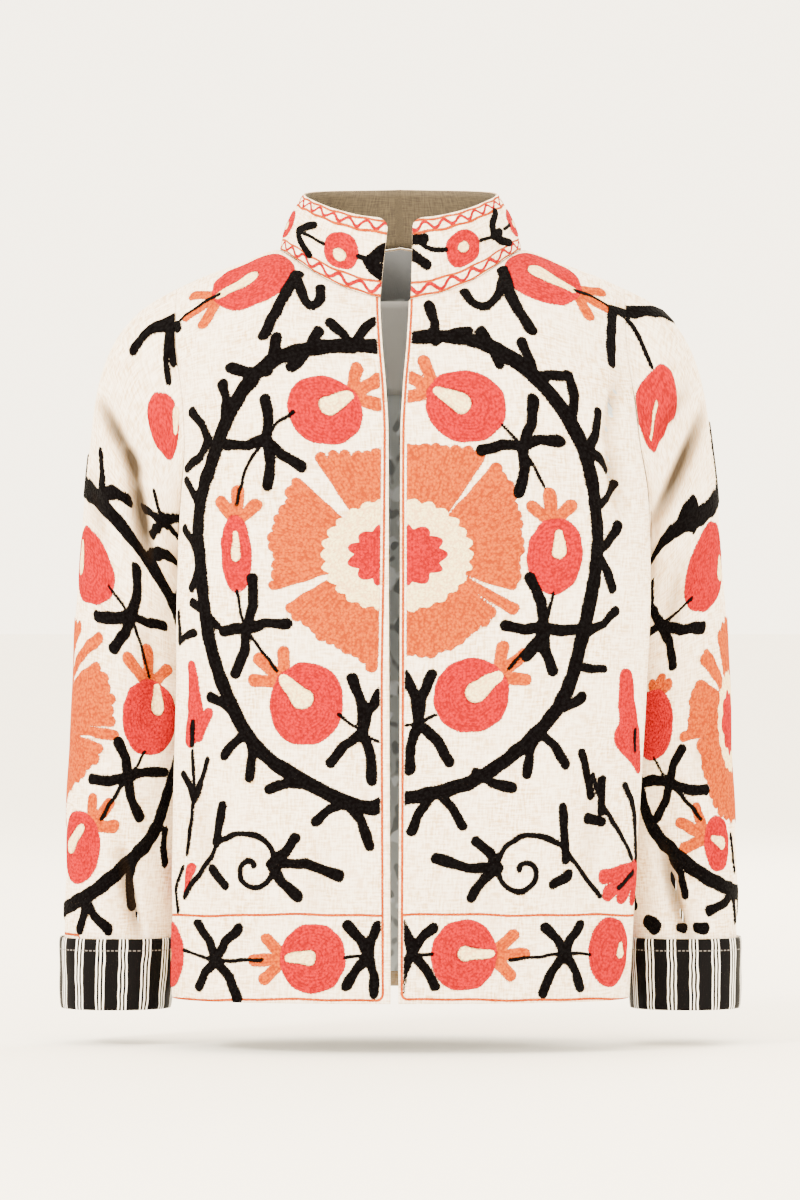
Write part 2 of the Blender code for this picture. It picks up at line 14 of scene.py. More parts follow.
import bpy
import numpy as np
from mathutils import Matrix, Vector


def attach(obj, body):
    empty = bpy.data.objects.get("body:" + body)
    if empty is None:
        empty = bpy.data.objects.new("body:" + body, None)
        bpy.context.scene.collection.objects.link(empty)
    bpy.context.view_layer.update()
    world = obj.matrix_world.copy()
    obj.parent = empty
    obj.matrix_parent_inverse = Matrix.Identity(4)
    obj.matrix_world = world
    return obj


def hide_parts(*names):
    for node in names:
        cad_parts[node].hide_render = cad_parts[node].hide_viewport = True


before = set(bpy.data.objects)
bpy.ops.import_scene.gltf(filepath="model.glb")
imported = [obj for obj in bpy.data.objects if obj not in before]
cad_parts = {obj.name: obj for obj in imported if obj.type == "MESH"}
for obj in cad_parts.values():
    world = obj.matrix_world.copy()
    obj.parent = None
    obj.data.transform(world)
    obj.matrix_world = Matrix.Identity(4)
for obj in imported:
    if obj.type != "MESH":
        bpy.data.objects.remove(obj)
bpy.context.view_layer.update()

LOG = logging.getLogger("jacket")
MM = 0.001
FAR = 9.0
REFINEMENTS = 4
SAMPLES = 400
TINY, TINY_TURN = 1e-3, 0.5
SIDES = {-1: "left", 1: "right"}

Array = np.ndarray
Material, Piece, Socket = bpy.types.Material, bpy.types.Object, bpy.types.NodeSocket


class Thread(Enum):
    """The wool colours, in the order in which they are laid over each other."""

    ORANGE = "orange"
    CORAL = "coral"
    CREAM = "cream"
    BLACK = "black"


class Face(Enum):
    """The two halves of the torso's surface."""

    FRONT = "front"
    BACK = "back"


# ---- numbers and curves


@dataclass(frozen=True)
class Level:
    """One height of the torso: half its width, and the depth of its side, front and back."""

    z: float
    half_width: float
    side_y: float
    front_y: float
    back_y: float
    front_square: float
    back_square: float


@dataclass(frozen=True)
class Point:
    """A key and the value that a curve has there."""

    at: float
    value: float


@dataclass(frozen=True)
class Armhole:
    """The armhole at an angle round the sleeve: share of its height, shares of the width."""

    angle: float
    height: float
    front_share: float
    back_share: float


@dataclass(frozen=True)
class Ring:
    """One ring of the sleeve: its edges from the front, its middle and its depths."""

    number: float
    outer_x: float
    outer_z: float
    inner_x: float
    inner_z: float
    middle_y: float
    front_deep: float
    back_deep: float


@dataclass(frozen=True)
class Crease:
    """A soft trough along a line in the front view, with a width on each side of it."""

    x0: float
    z0: float
    x1: float
    z1: float
    depth: float
    left: float
    right: float = 0

    def press(self, x: Array, z: Array) -> Array:
        """Depth: a bell across the line, from its upper end down, times a parabola along it.

        A right width of 0 is as the left one.
        """
        dx, dz = self.x1 - self.x0, self.z1 - self.z0
        length = np.hypot(dx, dz)
        near = np.clip(((x - self.x0) * dx + (z - self.z0) * dz) / length**2, 0, 1)
        off = ((z - self.z0) * dx - (x - self.x0) * dz) / length
        width = np.where(off > 0, self.right or self.left, self.left)
        return self.depth * 4 * near * (1 - near) * np.exp(-((off / width) ** 2))


def rows(kind: type, *values: tuple) -> tuple:
    """A table: one object of this kind for each row of values."""
    return tuple(kind(*row) for row in values)


def table(lines: tuple, at: Array, value: str = "value", key: str = "at") -> Array:
    """Reads a table along a smooth curve that never overshoots.

    Args:
        lines: The table's rows, by rising key.
        at: Where to read it.
        value: The field to read.
        key: The field that at is given in.

    Returns:
        Cubic pieces between the rows, with slopes that are harmonic means.
    """
    x, y = (np.array([getattr(line, name) for line in lines], float) for name in (key, value))
    step = np.diff(x)
    rise = np.diff(y) / step
    same_way = rise[:-1] * rise[1:] > 0
    before, after = (np.where(same_way, part, 1) for part in (rise[:-1], rise[1:]))
    a, b = 2 * step[1:] + step[:-1], step[1:] + 2 * step[:-1]
    inner = np.where(same_way, (a + b) / (a / before + b / after), 0)
    slope = np.concatenate([rise[:1], inner, rise[-1:]])
    at = np.clip(np.asarray(at, float), x[0], x[-1])
    i = np.clip(np.searchsorted(x, at, side="right") - 1, 0, len(x) - 2)
    t = (at - x[i]) / step[i]
    low = (y[i] * (1 + 2 * t) + slope[i] * step[i] * t) * (1 - t) ** 2
    return low + (y[i + 1] * (3 - 2 * t) - slope[i + 1] * step[i] * (1 - t)) * t**2


def rounded(angle: Array, square: Array) -> tuple[Array, Array]:
    """Across and along shares of a rounded rectangle at an angle in quarter turns."""
    s, c = np.sin(angle * np.pi / 2), np.cos(angle * np.pi / 2)
    radius = (np.abs(s) ** square + np.abs(c) ** square) ** (-1 / square)
    return radius * s, radius * c


def rounded_angle(share: Array, square: Array) -> Array:
    """The angle, in quarter turns, at which a rounded rectangle's across share is this."""
    size = np.clip(np.abs(share), 0, 1)
    return np.sign(share) * np.arctan2(size, (1 - size**square) ** (1 / square)) * 2 / np.pi


def unit(vectors: Array) -> Array:
    """The same directions at length one."""
    return vectors / np.linalg.norm(vectors, axis=-1, keepdims=True)


def along(normal: Array, length: Array) -> Array:
    """Vectors of these lengths along the given directions."""
    return np.asarray(length)[..., None] * normal


def arc_lengths(line: Array) -> Array:
    """Length along a line of points, from its first one."""
    steps = np.linalg.norm(np.diff(line, axis=0), axis=1)
    return np.concatenate([[0], np.cumsum(steps)])


def signed_turn(angle: Array) -> Array:
    """The same angle between -180 and 180 degrees."""
    return (np.asarray(angle, float) + 180) % 360 - 180


def press_depth(points: Array, creases: tuple) -> Array:
    """How far the creases press the cloth in: the sum of their depths."""
    return sum(crease.press(points[..., 0], points[..., 2]) for crease in creases)


def ripple(u: Array, v: Array, size: float) -> Array:
    """Small uneven waves of worn cloth: sines of four lengths and directions, summed."""
    return size * (
        0.40 * np.sin(u / 17 + 0.9 * np.sin(v / 61))
        + 0.30 * np.sin(v / 23 + u / 52 + 1.3)
        + 0.20 * np.sin(u / 9.5 - v / 31 + 0.4)
        + 0.15 * np.sin(v / 11.5 + u / 14 + 2.1)
    )


# ---- the surfaces, as in the CAD part


class Torso:
    """The torso's outer surface: p runs round it, q up it."""

    HEM_Z, WAIST_Z, UNDERARM_Z, CHEST_Z = -622, -350, -235, -200
    TALL, CHEST_Q, TOP_SQUARE = CHEST_Z - HEM_Z, 0.65, 2.2
    NECK_HALF_WIDTH, NECK_FRONT, NECK_BACK = 103, 80, 54
    OPENING_X = -5
    EDGE_X = {-1: (-17.0, -10.5), 1: (8.5, 9.5)}
    LEVELS = rows(
        Level,
        (-622, 193, -32, -128, 104, 2.5, 2.25),
        (-560, 194, -38, -129, 103, 2.5, 2.15),
        (-480, 196, -46, -129, 101, 2.5, 2.05),
        (-350, 198, -56, -128, 99, 2.6, 2.0),
        (-290, 199, -55, -127, 99, 2.7, 2.0),
        (-250, 199, -35, -126, 100, 2.85, 2.15),
        (-225, 199, -8, -125, 101, 3.0, 2.6),
        (-200, 199, -4, -125, 102, 3.0, 2.7),
    )
    SWAY = rows(
        Point, (-622, 0), (-480, 4), (-330, 10), (-200, 12), (-130, 8), (-60, 0), (60, 0)
    )
    SHOULDER = rows(Point, (103, 10), (135, -1), (168, -13), (198, -26.5), (217, -34.5))
    RIDGE = {
        Face.FRONT: rows(Point, (0, 3), (60, 5)) + SHOULDER,
        Face.BACK: rows(Point, (0, 45), (60, 31)) + SHOULDER,
    }
    ARMHOLE = rows(
        Armhole,
        (0, 1.0, 0.955, 0.955),
        (36, 0.9, 0.955, 0.94),
        (72, 0.67, 0.955, 0.91),
        (108, 0.4, 0.962, 0.915),
        (144, 0.17, 0.991, 0.982),
        (162, 0.08, 0.998, 0.996),
        (180, 0.0, 1.0, 1.0),
    )
    OPENING = rows(
        Point, (-622, 3.2), (-300, 4.6), (-150, 5), (-110, 7), (-70, 10.4), (-38, 12), (0, 12.5)
    )
    FOLDS = {
        Face.FRONT: rows(
            Crease,
            (178, -95, 181, -350, 5.5, 15),
            (-166, -330, -172, -520, 3.5, 16),
            (60, -420, 66, -640, 2.2, 26),
            (-95, -400, -90, -640, 2.2, 28),
            (158, -300, 164, -610, 1.6, 11),
            (133, -120, 150, -260, 1.2, 10),
            (-150, -110, -160, -250, 1.4, 12),
            (-130, -560, -126, -640, 1.2, 14),
        ),
        Face.BACK: rows(
            Crease,
            (-120, -150, -105, -420, 5.0, 18),
            (122, -140, 112, -450, 5.0, 18),
            (40, -330, 45, -640, 3.5, 26),
            (-38, -350, -48, -640, 3.0, 26),
            (150, -260, 160, -430, 1.6, 10),
            (-10, -80, -4, -300, 1.5, 18),
            (-150, -240, -160, -460, 1.7, 12),
        ),
    }

    def level(self, name: str, z: Array) -> Array:
        """A column of the levels at this height, as at the chest from there up."""
        return table(self.LEVELS, np.minimum(z, self.CHEST_Z), name, "z")

    def square(self, z: Array, face: Face) -> Array:
        """How square the section's front or back is at this height."""
        return self.level(f"{face.value}_square", z)

    def deep_y(self, z: Array, share: Array, face: Face) -> Array:
        """How far forward a section lies, at this share from its side line to its middle."""
        side_y = self.level("side_y", z)
        return side_y + (self.level(f"{face.value}_y", z) - side_y) * share

    def sway(self, z: Array) -> Array:
        """How far the torso hangs to the viewer's right at this height."""
        return table(self.SWAY, z)

    def ridge(self, x: Array, face: Face) -> Array:
        """Height of the shoulder ridge by distance from the centre."""
        return table(self.RIDGE[face], np.abs(x))

    def upper_q(self, share: Array) -> Array:
        """The q of a share of the way from the chest up to the ridge."""
        return self.CHEST_Q + (1 - self.CHEST_Q) * share

    def point(self, p: Array, q: Array, face: Face) -> Array:
        """The surface's points.

        Args:
            p: Round the torso, 0 at the centre and 1 or -1 at the side line.
            q: Up the torso, 0 at the hem and 1 at the ridge.
            face: Front or back.

        Returns:
            Rounded-rectangle sections up to the chest, then quarter-oval arcs that lead
            each section's depth back to the shoulder ridge.
        """
        p, q = np.broadcast_arrays(np.asarray(p, float), np.asarray(q, float))
        low_z = self.HEM_Z + self.TALL * np.minimum(q / self.CHEST_Q, 1)
        across, deep = rounded(p, self.square(low_z, face))
        x = self.level("half_width", low_z) * across
        rise = np.maximum(q - self.CHEST_Q, 0) / (1 - self.CHEST_Q)
        up, keep = rounded(rise, self.TOP_SQUARE)
        z = low_z + (self.ridge(x, face) - self.CHEST_Z) * up
        return np.stack([x + self.sway(z), self.deep_y(low_z, deep, face) * keep, z], axis=-1)

    def p_at(self, x: Array, q: Array, face: Face) -> Array:
        """The p at which the surface has this x on a row q."""
        p = np.zeros_like(np.asarray(x, float) + q)
        for _ in range(REFINEMENTS):
            z = self.point(p, q, face)[..., 2]
            share = (x - self.sway(z)) / self.level("half_width", z)
            p = rounded_angle(share, self.square(z, face))
        return p

    def q_at(self, p: Array, z: Array, face: Face) -> Array:
        """The q at which the surface has this height on a column p."""
        across, _ = rounded(p, self.square(z, face))
        ridge = self.ridge(self.level("half_width", z) * across, face)
        upper = rounded_angle((z - self.CHEST_Z) / (ridge - self.CHEST_Z), self.TOP_SQUARE)
        lower = (z - self.HEM_Z) / self.TALL * self.CHEST_Q
        return np.where(z > self.CHEST_Z, self.upper_q(upper), lower)

    def normal(self, p: Array, q: Array, face: Face) -> Array:
        """The outward direction, from the surface a little to each side of the point."""
        high, low = np.minimum(q + TINY, 1), np.maximum(q - TINY, 0)
        side = self.point(p + TINY, low, face) - self.point(p - TINY, low, face)
        up = self.point(p, high, face) - self.point(p, low, face)
        return unit(np.cross(side, up) if face is Face.FRONT else np.cross(up, side))

    def flat(self, p: Array, q: Array, face: Face) -> tuple[Array, Array]:
        """Flat cloth coordinates: arc lengths along the waist section and a side column."""
        samples = np.linspace(-1, 1, 2 * SAMPLES + 1)
        waist_q = (self.WAIST_Z - self.HEM_Z) / self.TALL * self.CHEST_Q
        girth = arc_lengths(self.point(samples, waist_q, face))
        levels = np.linspace(0, 1, SAMPLES)
        up = arc_lengths(self.point(0.5, levels, face))
        return np.interp(p, samples, girth - girth[SAMPLES]), np.interp(q, levels, up)

    def either(self, place: Callable, ahead: Array) -> Array:
        """Points at place(face): of the front where ahead is true, else of the back."""
        front, back = (self.point(*place(face), face) for face in Face)
        return np.where(ahead[..., None], front, back)

    def neck_pq(self, angle: Array, face: Face) -> tuple[Array, Array]:
        """Where the neckline, an oval seen from above, lies on the surface."""
        turn = np.radians(angle)
        deep = np.where(np.cos(turn) > 0, self.NECK_FRONT, self.NECK_BACK)
        square = self.square(self.CHEST_Z, face)
        half_width = self.level("half_width", self.CHEST_Z)
        p = rounded_angle(self.NECK_HALF_WIDTH * np.sin(turn) / half_width, square)
        full_y = self.deep_y(self.CHEST_Z, rounded(p, square)[1], face)
        rise = 1 - rounded_angle(-deep * np.cos(turn) / full_y, self.TOP_SQUARE)
        return p, self.upper_q(rise)

    def neck_point(self, angle: Array) -> Array:
        """The neckline in space, from the front surface or the back one."""
        return self.either(lambda face: self.neck_pq(angle, face), np.cos(np.radians(angle)) > 0)

    def armhole_pq(self, angle: Array, face: Face, side: int) -> tuple[Array, Array]:
        """The armhole's edge on the torso, by angle round the sleeve from its top."""
        share = table(self.ARMHOLE, angle, f"{face.value}_share", "angle")
        top_x = self.ARMHOLE[0].front_share * self.level("half_width", self.CHEST_Z)
        height = table(self.ARMHOLE, angle, "height", "angle")
        z = self.UNDERARM_Z + (self.ridge(top_x, face) - self.UNDERARM_Z) * height
        p = rounded_angle(share, self.square(z, face))
        return side * p, self.q_at(p, z, face)

    def armhole_loop(self, angle: Array, side: int) -> Array:
        """The armhole's curve in space, all the way round: front first, then back."""
        turn = np.where(angle > 180, 360 - angle, angle)
        return self.either(lambda face: self.armhole_pq(turn, face, side), angle <= 180)


TORSO = Torso()


@dataclass(frozen=True)
class Cut:
    """The cloth pieces on the torso as grids of p and q. Each CAD step is split so often."""

    across: int
    up: int

    SEAM, ARM, SHOULDER, NECK_FRONT, NECK_BACK = 13, 10, 5, 6, 12

    @staticmethod
    def even(p: Array, q: Array, face: Face, steps: int) -> Array:
        """Points of a line on the torso, evenly spaced in space."""
        length = arc_lengths(TORSO.point(p, q, face))
        at = np.linspace(0, length[-1], steps + 1)
        return np.stack([np.interp(at, length, p), np.interp(at, length, q)], axis=1)

    def side(self, face: Face, side: int) -> Array:
        """Side seam and armhole as one line, hem to shoulder."""
        underarm = TORSO.q_at(np.array(1.0), np.array(float(TORSO.UNDERARM_Z)), face)
        seam_q = np.linspace(0, underarm, self.SEAM * self.up + 1)
        seam = np.stack([np.full_like(seam_q, side), seam_q], axis=1)
        angle = np.linspace(180, 0, self.ARM * self.up + 1)
        return np.concatenate([seam[:-1], np.stack(TORSO.armhole_pq(angle, face, side), axis=1)])

    def shoulder(self, face: Face, side: int) -> Array:
        """The shoulder ridge, from the neck point out to the armhole."""
        tip = TORSO.armhole_pq(np.array(0.0), face, side)[0]
        neck = side * TORSO.neck_pq(np.array(90.0), face)[0]
        p = np.linspace(neck, tip, SAMPLES)
        return self.even(p, np.ones_like(p), face, self.SHOULDER * self.across)

    def opening(self, side: int) -> Array:
        """The front's opening edge, from the hem to the neckline."""
        neck_p, neck_q = TORSO.neck_pq(COLLAR.end_turn(side, 0), Face.FRONT)
        neck_z = TORSO.point(neck_p, neck_q, Face.FRONT)[2]
        z = np.linspace(TORSO.HEM_Z, neck_z, SAMPLES)
        q = TORSO.q_at(np.zeros_like(z), z, Face.FRONT)
        p = TORSO.p_at(TORSO.OPENING_X + side * table(TORSO.OPENING, z), q, Face.FRONT)
        p[-1], q[-1] = neck_p, neck_q
        return self.even(p, q, Face.FRONT, (self.SEAM + self.ARM) * self.up)

    @staticmethod
    def patch(bottom: tuple, top: Array, left: Array, right: Array) -> Array:
        """A grid between four edges, the lowest the hem between two values of p.

        It is the sum of both straight blends less that of the corners.
        """
        hem = np.stack([np.linspace(*bottom, len(top)), np.zeros(len(top))], axis=1)
        v = np.linspace(0, 1, len(left))[:, None, None]
        u = np.linspace(0, 1, len(hem))[None, :, None]
        between_ends = (1 - v) * hem[None] + v * top[None]
        between_sides = (1 - u) * left[:, None] + u * right[:, None]
        low, high = (1 - u) * hem[0] + u * hem[-1], (1 - u) * top[0] + u * top[-1]
        return between_ends + between_sides - (1 - v) * low - v * high

    def front(self, side: int) -> Array:
        """The p and q of one front, from its opening edge out to the side."""
        edge = self.opening(side)
        steps = self.NECK_FRONT * self.across
        turn = np.linspace(COLLAR.end_turn(side, 0), side * 90, steps + 1)
        neck = np.stack(TORSO.neck_pq(turn, Face.FRONT), axis=1)
        top = np.concatenate([neck[:-1], self.shoulder(Face.FRONT, side)])
        return self.patch((edge[0, 0], side), top, edge, self.side(Face.FRONT, side))

    def back(self) -> Array:
        """The p and q of the back, left side to right side."""
        turn = np.linspace(-90, -270, self.NECK_BACK * self.across + 1)
        neck = np.stack(TORSO.neck_pq(turn, Face.BACK), axis=1)
        left, right = (self.shoulder(Face.BACK, side) for side in SIDES)
        top = np.concatenate([left[:0:-1], neck, right[1:]])
        return self.patch((-1, 1), top, self.side(Face.BACK, -1), self.side(Face.BACK, 1))


class Sleeve:
    """The sleeve's outer surface: a tube of tilted rings drawn over to the armhole."""

    SQUARE, FADE_RINGS, FOLD_START = 2.15, 6.5, 1.2
    TINY_RINGS = 0.02
    RINGS = rows(
        Ring,
        (0, 190, -23, 199, -235, 0, 60, 60),
        (1, 218, -37.5, 200, -246, 5, 60, 60),
        (2, 243, -66, 199.5, -257, 11, 60, 60),
        (3, 257.5, -107, 198, -270, 18, 58, 60),
        (4, 265.5, -155, 195, -285, 26, 57, 59),
        (5, 272.5, -222, 191, -306, 33, 55, 58),
        (6, 277.5, -300, 187, -342, 40, 54, 56),
        (7, 281.5, -382, 187, -394, 42, 51, 53),
        (8, 285.5, -467, 191, -470, 38, 49, 50),
        (9, 287.5, -568, 196, -570, 28, 46.5, 47),
        (10, 287, -632, 198.5, -632, 22, 46, 46),
    )
    LAST, ELBOW = 10, 6.0
    FRONT_FOLDS = rows(
        Crease,
        (256, -140, 220, -238, 5, 14),
        (214, -330, 222, -470, 4, 16),
        (236, -500, 241, -610, 4.5, 13),
        (244, -120, 214, -190, 2.5, 9),
        (262, -470, 266, -600, 1.8, 9),
        (262, -230, 236, -300, 1.8, 11),
    )
    BACK_FOLDS = rows(
        Crease,
        (256, -150, 222, -250, 9, 15),
        (270, -330, 226, -390, 5, 14),
        (236, -480, 244, -600, 4.5, 14),
        (262, -440, 230, -480, 2.5, 10),
        (250, -210, 216, -300, 2.5, 11),
    )

    def ring(self, row: Array, angle: Array, side: int) -> Array:
        """A point of a ring before it is fitted to the armhole: a tilted rounded oval."""
        read = {f.name: table(self.RINGS, row, f.name, "number") for f in fields(Ring)[1:]}
        forward, outward = rounded(angle / 90, self.SQUARE)
        deep = np.where(forward > 0, read["front_deep"], read["back_deep"])
        x, z = (
            (read[f"outer_{way}"] + read[f"inner_{way}"]) / 2
            + (read[f"outer_{way}"] - read[f"inner_{way}"]) / 2 * outward
            for way in "xz"
        )
        x = side * x + TORSO.sway(z) * (1 - outward) / 2
        return np.stack([x, read["middle_y"] - deep * forward, z], axis=-1)

    def point(self, row: Array, angle: Array, side: int) -> Array:
        """The surface's points.

        Args:
            row: Ring number, 0 at the armhole.
            angle: Degrees round the sleeve, 0 at its outer line and 90 in front.
            side: -1 for the viewer's left sleeve, 1 for the right.

        Returns:
            The ring's point, moved by what the armhole is off its ring times a share that
            fades down the sleeve, then pressed towards the axis by the folds.
        """
        row, angle = np.broadcast_arrays(np.asarray(row, float), np.asarray(angle, float))
        fit = TORSO.armhole_loop(angle, side) - self.ring(np.zeros_like(row), angle, side)
        fade = (1 - np.clip(row / self.FADE_RINGS, 0, 1) ** 2) ** 2
        point = self.ring(row, angle, side) + along(fit, fade)
        mirrored = point * np.array([side, 1, 1])
        forward = np.sin(np.radians(angle))
        press = press_depth(mirrored, self.FRONT_FOLDS) * np.sqrt(np.clip(forward, 0, 1))
        press += press_depth(mirrored, self.BACK_FOLDS) * np.sqrt(np.clip(-forward, 0, 1))
        press *= np.clip(row / self.FOLD_START, 0, 1) ** 2
        ends = (self.ring(row, np.full_like(angle, turn), side) for turn in (0, 180))
        return point + along(unit(sum(ends) / 2 - point), press)

    def normal(self, row: Array, angle: Array, side: int) -> Array:
        """The outward direction of the surface."""
        low = np.maximum(row - self.TINY_RINGS, 0)
        high = np.minimum(row + self.TINY_RINGS, self.LAST)
        down = self.point(high, angle, side) - self.point(low, angle, side)
        before, after = (angle - TINY_TURN) % 360, (angle + TINY_TURN) % 360
        forward = self.point(row, after, side) - self.point(row, before, side)
        return unit(side * np.cross(forward, down))

    def flat(self, row: Array, angle: Array) -> tuple[Array, Array]:
        """Flat coordinates: angle times the elbow's girth, and length up from the wrist."""
        girth = arc_lengths(self.point(self.ELBOW, np.linspace(0, 360, SAMPLES), -1))[-1]
        levels = np.linspace(0, self.LAST, SAMPLES)
        down = arc_lengths(self.point(levels, 90.0, -1))
        return signed_turn(angle) * girth / 360, np.interp(row, levels, down[-1] - down)


SLEEVE = Sleeve()


class Collar:
    """The stand collar's outer surface between the neckline and its top curve."""

    TOP = rows(Point, (0, 32), (20, 35), (42, 42), (65, 51), (90, 58), (135, 63), (180, 65))
    TOP_HALF_WIDTH, TOP_FRONT, TOP_BACK = 82.5, 68, 48
    BOW, CORNER = 2.5, 8

    def end_turn(self, side: int, height: Array) -> Array:
        """Angle round the neck at which the collar and the front end."""
        base = TORSO.EDGE_X[side][0] / TORSO.NECK_HALF_WIDTH
        top = TORSO.EDGE_X[side][1] / self.TOP_HALF_WIDTH
        return np.degrees(np.arcsin(base + (top - base) * height))

    def point(self, angle: Array, height: Array) -> Array:
        """A point by angle from the centre front and share of height.

        It lies on a straight line from the neckline to the top, bowed out by a parabola.
        """
        turn = np.radians(angle)
        base = TORSO.neck_point(angle)
        deep = np.where(np.cos(turn) > 0, self.TOP_FRONT, self.TOP_BACK)
        top_z = table(self.TOP, np.abs(signed_turn(angle)))
        top = np.stack([self.TOP_HALF_WIDTH * np.sin(turn), -deep * np.cos(turn), top_z], axis=-1)
        outward = np.stack([np.sin(turn), -np.cos(turn), np.zeros_like(turn)], axis=-1)
        bow = self.BOW * 4 * height * (1 - height)
        return base + along(top - base, height) + along(outward, bow)

    def normal(self, angle: Array, height: Array) -> Array:
        """The outward direction of the surface."""
        up = self.point(angle, height + TINY) - self.point(angle, height - TINY)
        forward = self.point(angle + TINY_TURN, height) - self.point(angle - TINY_TURN, height)
        return unit(np.cross(forward, up))

    def tall(self, angle: Array) -> Array:
        """The collar's height at this angle."""
        return self.point(angle, np.ones_like(angle))[..., 2] - TORSO.neck_point(angle)[..., 2]

    def grid(self, columns: int, lines: int) -> tuple[Array, Array]:
        """Angles and height shares of a grid whose two upper front corners are rounded."""
        height = np.linspace(0, 1, lines)[:, None]
        start, end = self.end_turn(1, height), self.end_turn(-1, height) + 360
        angle = start + (end - start) * np.linspace(0, 1, columns)[None, :]
        from_edge = np.radians(np.minimum(angle - start, end - angle)) * self.TOP_FRONT
        inside = np.clip(self.CORNER - from_edge, 0, self.CORNER)
        drop = self.CORNER - np.sqrt(self.CORNER**2 - inside**2)
        return angle, height * (1 - drop / self.tall(angle))


COLLAR = Collar()


# ---- needlework in flat coordinates


def polar(u: float, v: float, length: float, turn: float) -> tuple:
    """The point at this length and direction, in radians, from another."""
    return u + length * np.cos(turn), v + length * np.sin(turn)


class Canvas:
    """Flat cloth with a distance field for each thread colour.

    lines holds signed distances to thin lines. The finish draws them where they are zero:
    edging and, inside it, ruling in orange, and wave in coral. hollow is the depth of the
    creases, from which the finish paints shade into the cloth's colour.
    """

    HEIGHT, BLACK_HEIGHT, SOFTNESS, DEEPEST = 1.0, 1.35, 1.3, 60

    def __init__(self, u: Array, v: Array) -> None:
        """Starts with no stitches.

        Args:
            u: Flat coordinate round the garment at each vertex.
            v: Flat coordinate up the garment at each vertex.
        """
        # The hand is never quite steady: every outline wanders by up to half a millimetre.
        wobble = 0.55 * np.sin(u / 3.1 + 1.7 * np.sin(v / 4.3)) + 0.45 * np.sin(v / 2.7 + u / 5.9)
        self.u = u + 0.45 * wobble
        self.v = v + 0.45 * np.sin(u / 3.9 + v / 4.7) + 0.3 * np.sin(v / 2.3)
        self.field = {thread: np.full(u.shape, FAR) for thread in Thread}
        self.lines = {name: np.full(u.shape, FAR) for name in ("edging", "ruling", "wave")}
        self.hollow = np.zeros(u.shape)

    def add(self, thread: Thread, distance: Array) -> None:
        """Stitches an area, given its distance field, in this colour."""
        self.field[thread] = np.minimum(self.field[thread], distance)

    def bar(self, thread: Thread, a: tuple, b: tuple, width_a: float, width_b: float) -> None:
        """Stitches a stroke with round ends whose width changes from one to the other."""
        du, dv = b[0] - a[0], b[1] - a[1]
        square = max(du * du + dv * dv, 1e-6)
        share = np.clip(((self.u - a[0]) * du + (self.v - a[1]) * dv) / square, 0, 1)
        off = np.hypot(self.u - a[0] - share * du, self.v - a[1] - share * dv)
        self.add(thread, off - (width_a + (width_b - width_a) * share) / 2)

    def line(self, thread: Thread, width: float, points: tuple) -> None:
        """Stitches a line through points."""
        for a, b in zip(points[:-1], points[1:]):
            self.bar(thread, a, b, width, width)

    def clip(self, limit: Array) -> None:
        """Leaves nothing stitched where the limit is above zero."""
        for thread, field in self.field.items():
            self.field[thread] = np.maximum(field, limit)

    def oval(self, thread: Thread, middle: tuple, half: tuple, square: float = 2) -> None:
        """Stitches a rounded oval: the distance is measured along the ray from its middle."""
        du, dv = self.u - middle[0], self.v - middle[1]
        a, b = np.abs(du / half[0]) ** square, np.abs(dv / half[1]) ** square
        share = np.maximum((a + b) ** (1 / square), 1e-6)
        inside = -min(half) * (1 - np.minimum(share, 1)) - 1e-3
        self.add(thread, np.maximum(np.hypot(du, dv) * (1 - 1 / share), inside))

    def work(self, figures: tuple) -> None:
        """Stitches these figures."""
        for figure in figures:
            figure.stitch(self)

    def relief(self) -> Array:
        """Height of the stitches: each colour's own height times a smooth step at its edge."""
        total = np.zeros_like(self.u)
        for thread, field in self.field.items():
            top = self.BLACK_HEIGHT if thread is Thread.BLACK else self.HEIGHT
            share = np.clip(0.5 - field / self.SOFTNESS, 0, 1)
            total = np.maximum(total, top * share * share * (3 - 2 * share))
        return total

    def numbers(self) -> dict[str, Array]:
        """The distances to keep on the mesh, and the depth inside whichever colour shows."""
        shown = self.field[Thread.ORANGE]
        for field in self.field.values():
            shown = np.where(field < 0, field, shown)
        kept = {thread.value: field for thread, field in self.field.items()} | self.lines
        kept = {name: np.clip(value, -FAR, FAR) for name, value in kept.items()}
        return kept | {"stitch": np.clip(-shown, 0, self.DEEPEST), "hollow": self.hollow}


@dataclass(frozen=True)
class Fruit:
    """A coral round with a cream drop in it and an orange crown of three lobes."""

    u: float
    v: float
    width: float
    height: float
    crown: float
    seed_u: float
    seed_v: float
    crown_length: float = 30
    seed_length: float = 0.5
    seed_width: float = 0.29

    LOBES = ((-44, 0.80), (2, 0.95), (42, 0.84))
    LOBE_WIDTHS, ROOT_SHARE, SQUARE = (9.5, 11), 0.82, 2.12

    def stitch(self, canvas: Canvas) -> None:
        """Draws the crown, the round over it and the drop over both."""
        turn = np.radians(self.crown)
        reach = 1 / np.hypot(np.cos(turn) * 2 / self.width, np.sin(turn) * 2 / self.height)
        rim = polar(self.u, self.v, self.ROOT_SHARE * reach, turn)
        for spread, share in self.LOBES if self.crown_length else ():
            tip = polar(*rim, self.crown_length * share, turn + np.radians(spread))
            canvas.bar(Thread.ORANGE, rim, tip, *self.LOBE_WIDTHS)
        half_size = (self.width / 2, self.height / 2)
        canvas.oval(Thread.CORAL, (self.u, self.v), half_size, self.SQUARE)
        small = min(self.width, self.height)
        half, wide = self.seed_length * small / 2, self.seed_width * small
        seed = (self.u + self.seed_u, self.v + self.seed_v)
        root, tip = polar(*seed, wide / 2 - half, turn), polar(*seed, half, turn)
        canvas.bar(Thread.CREAM, root, tip, wide, wide / 2)


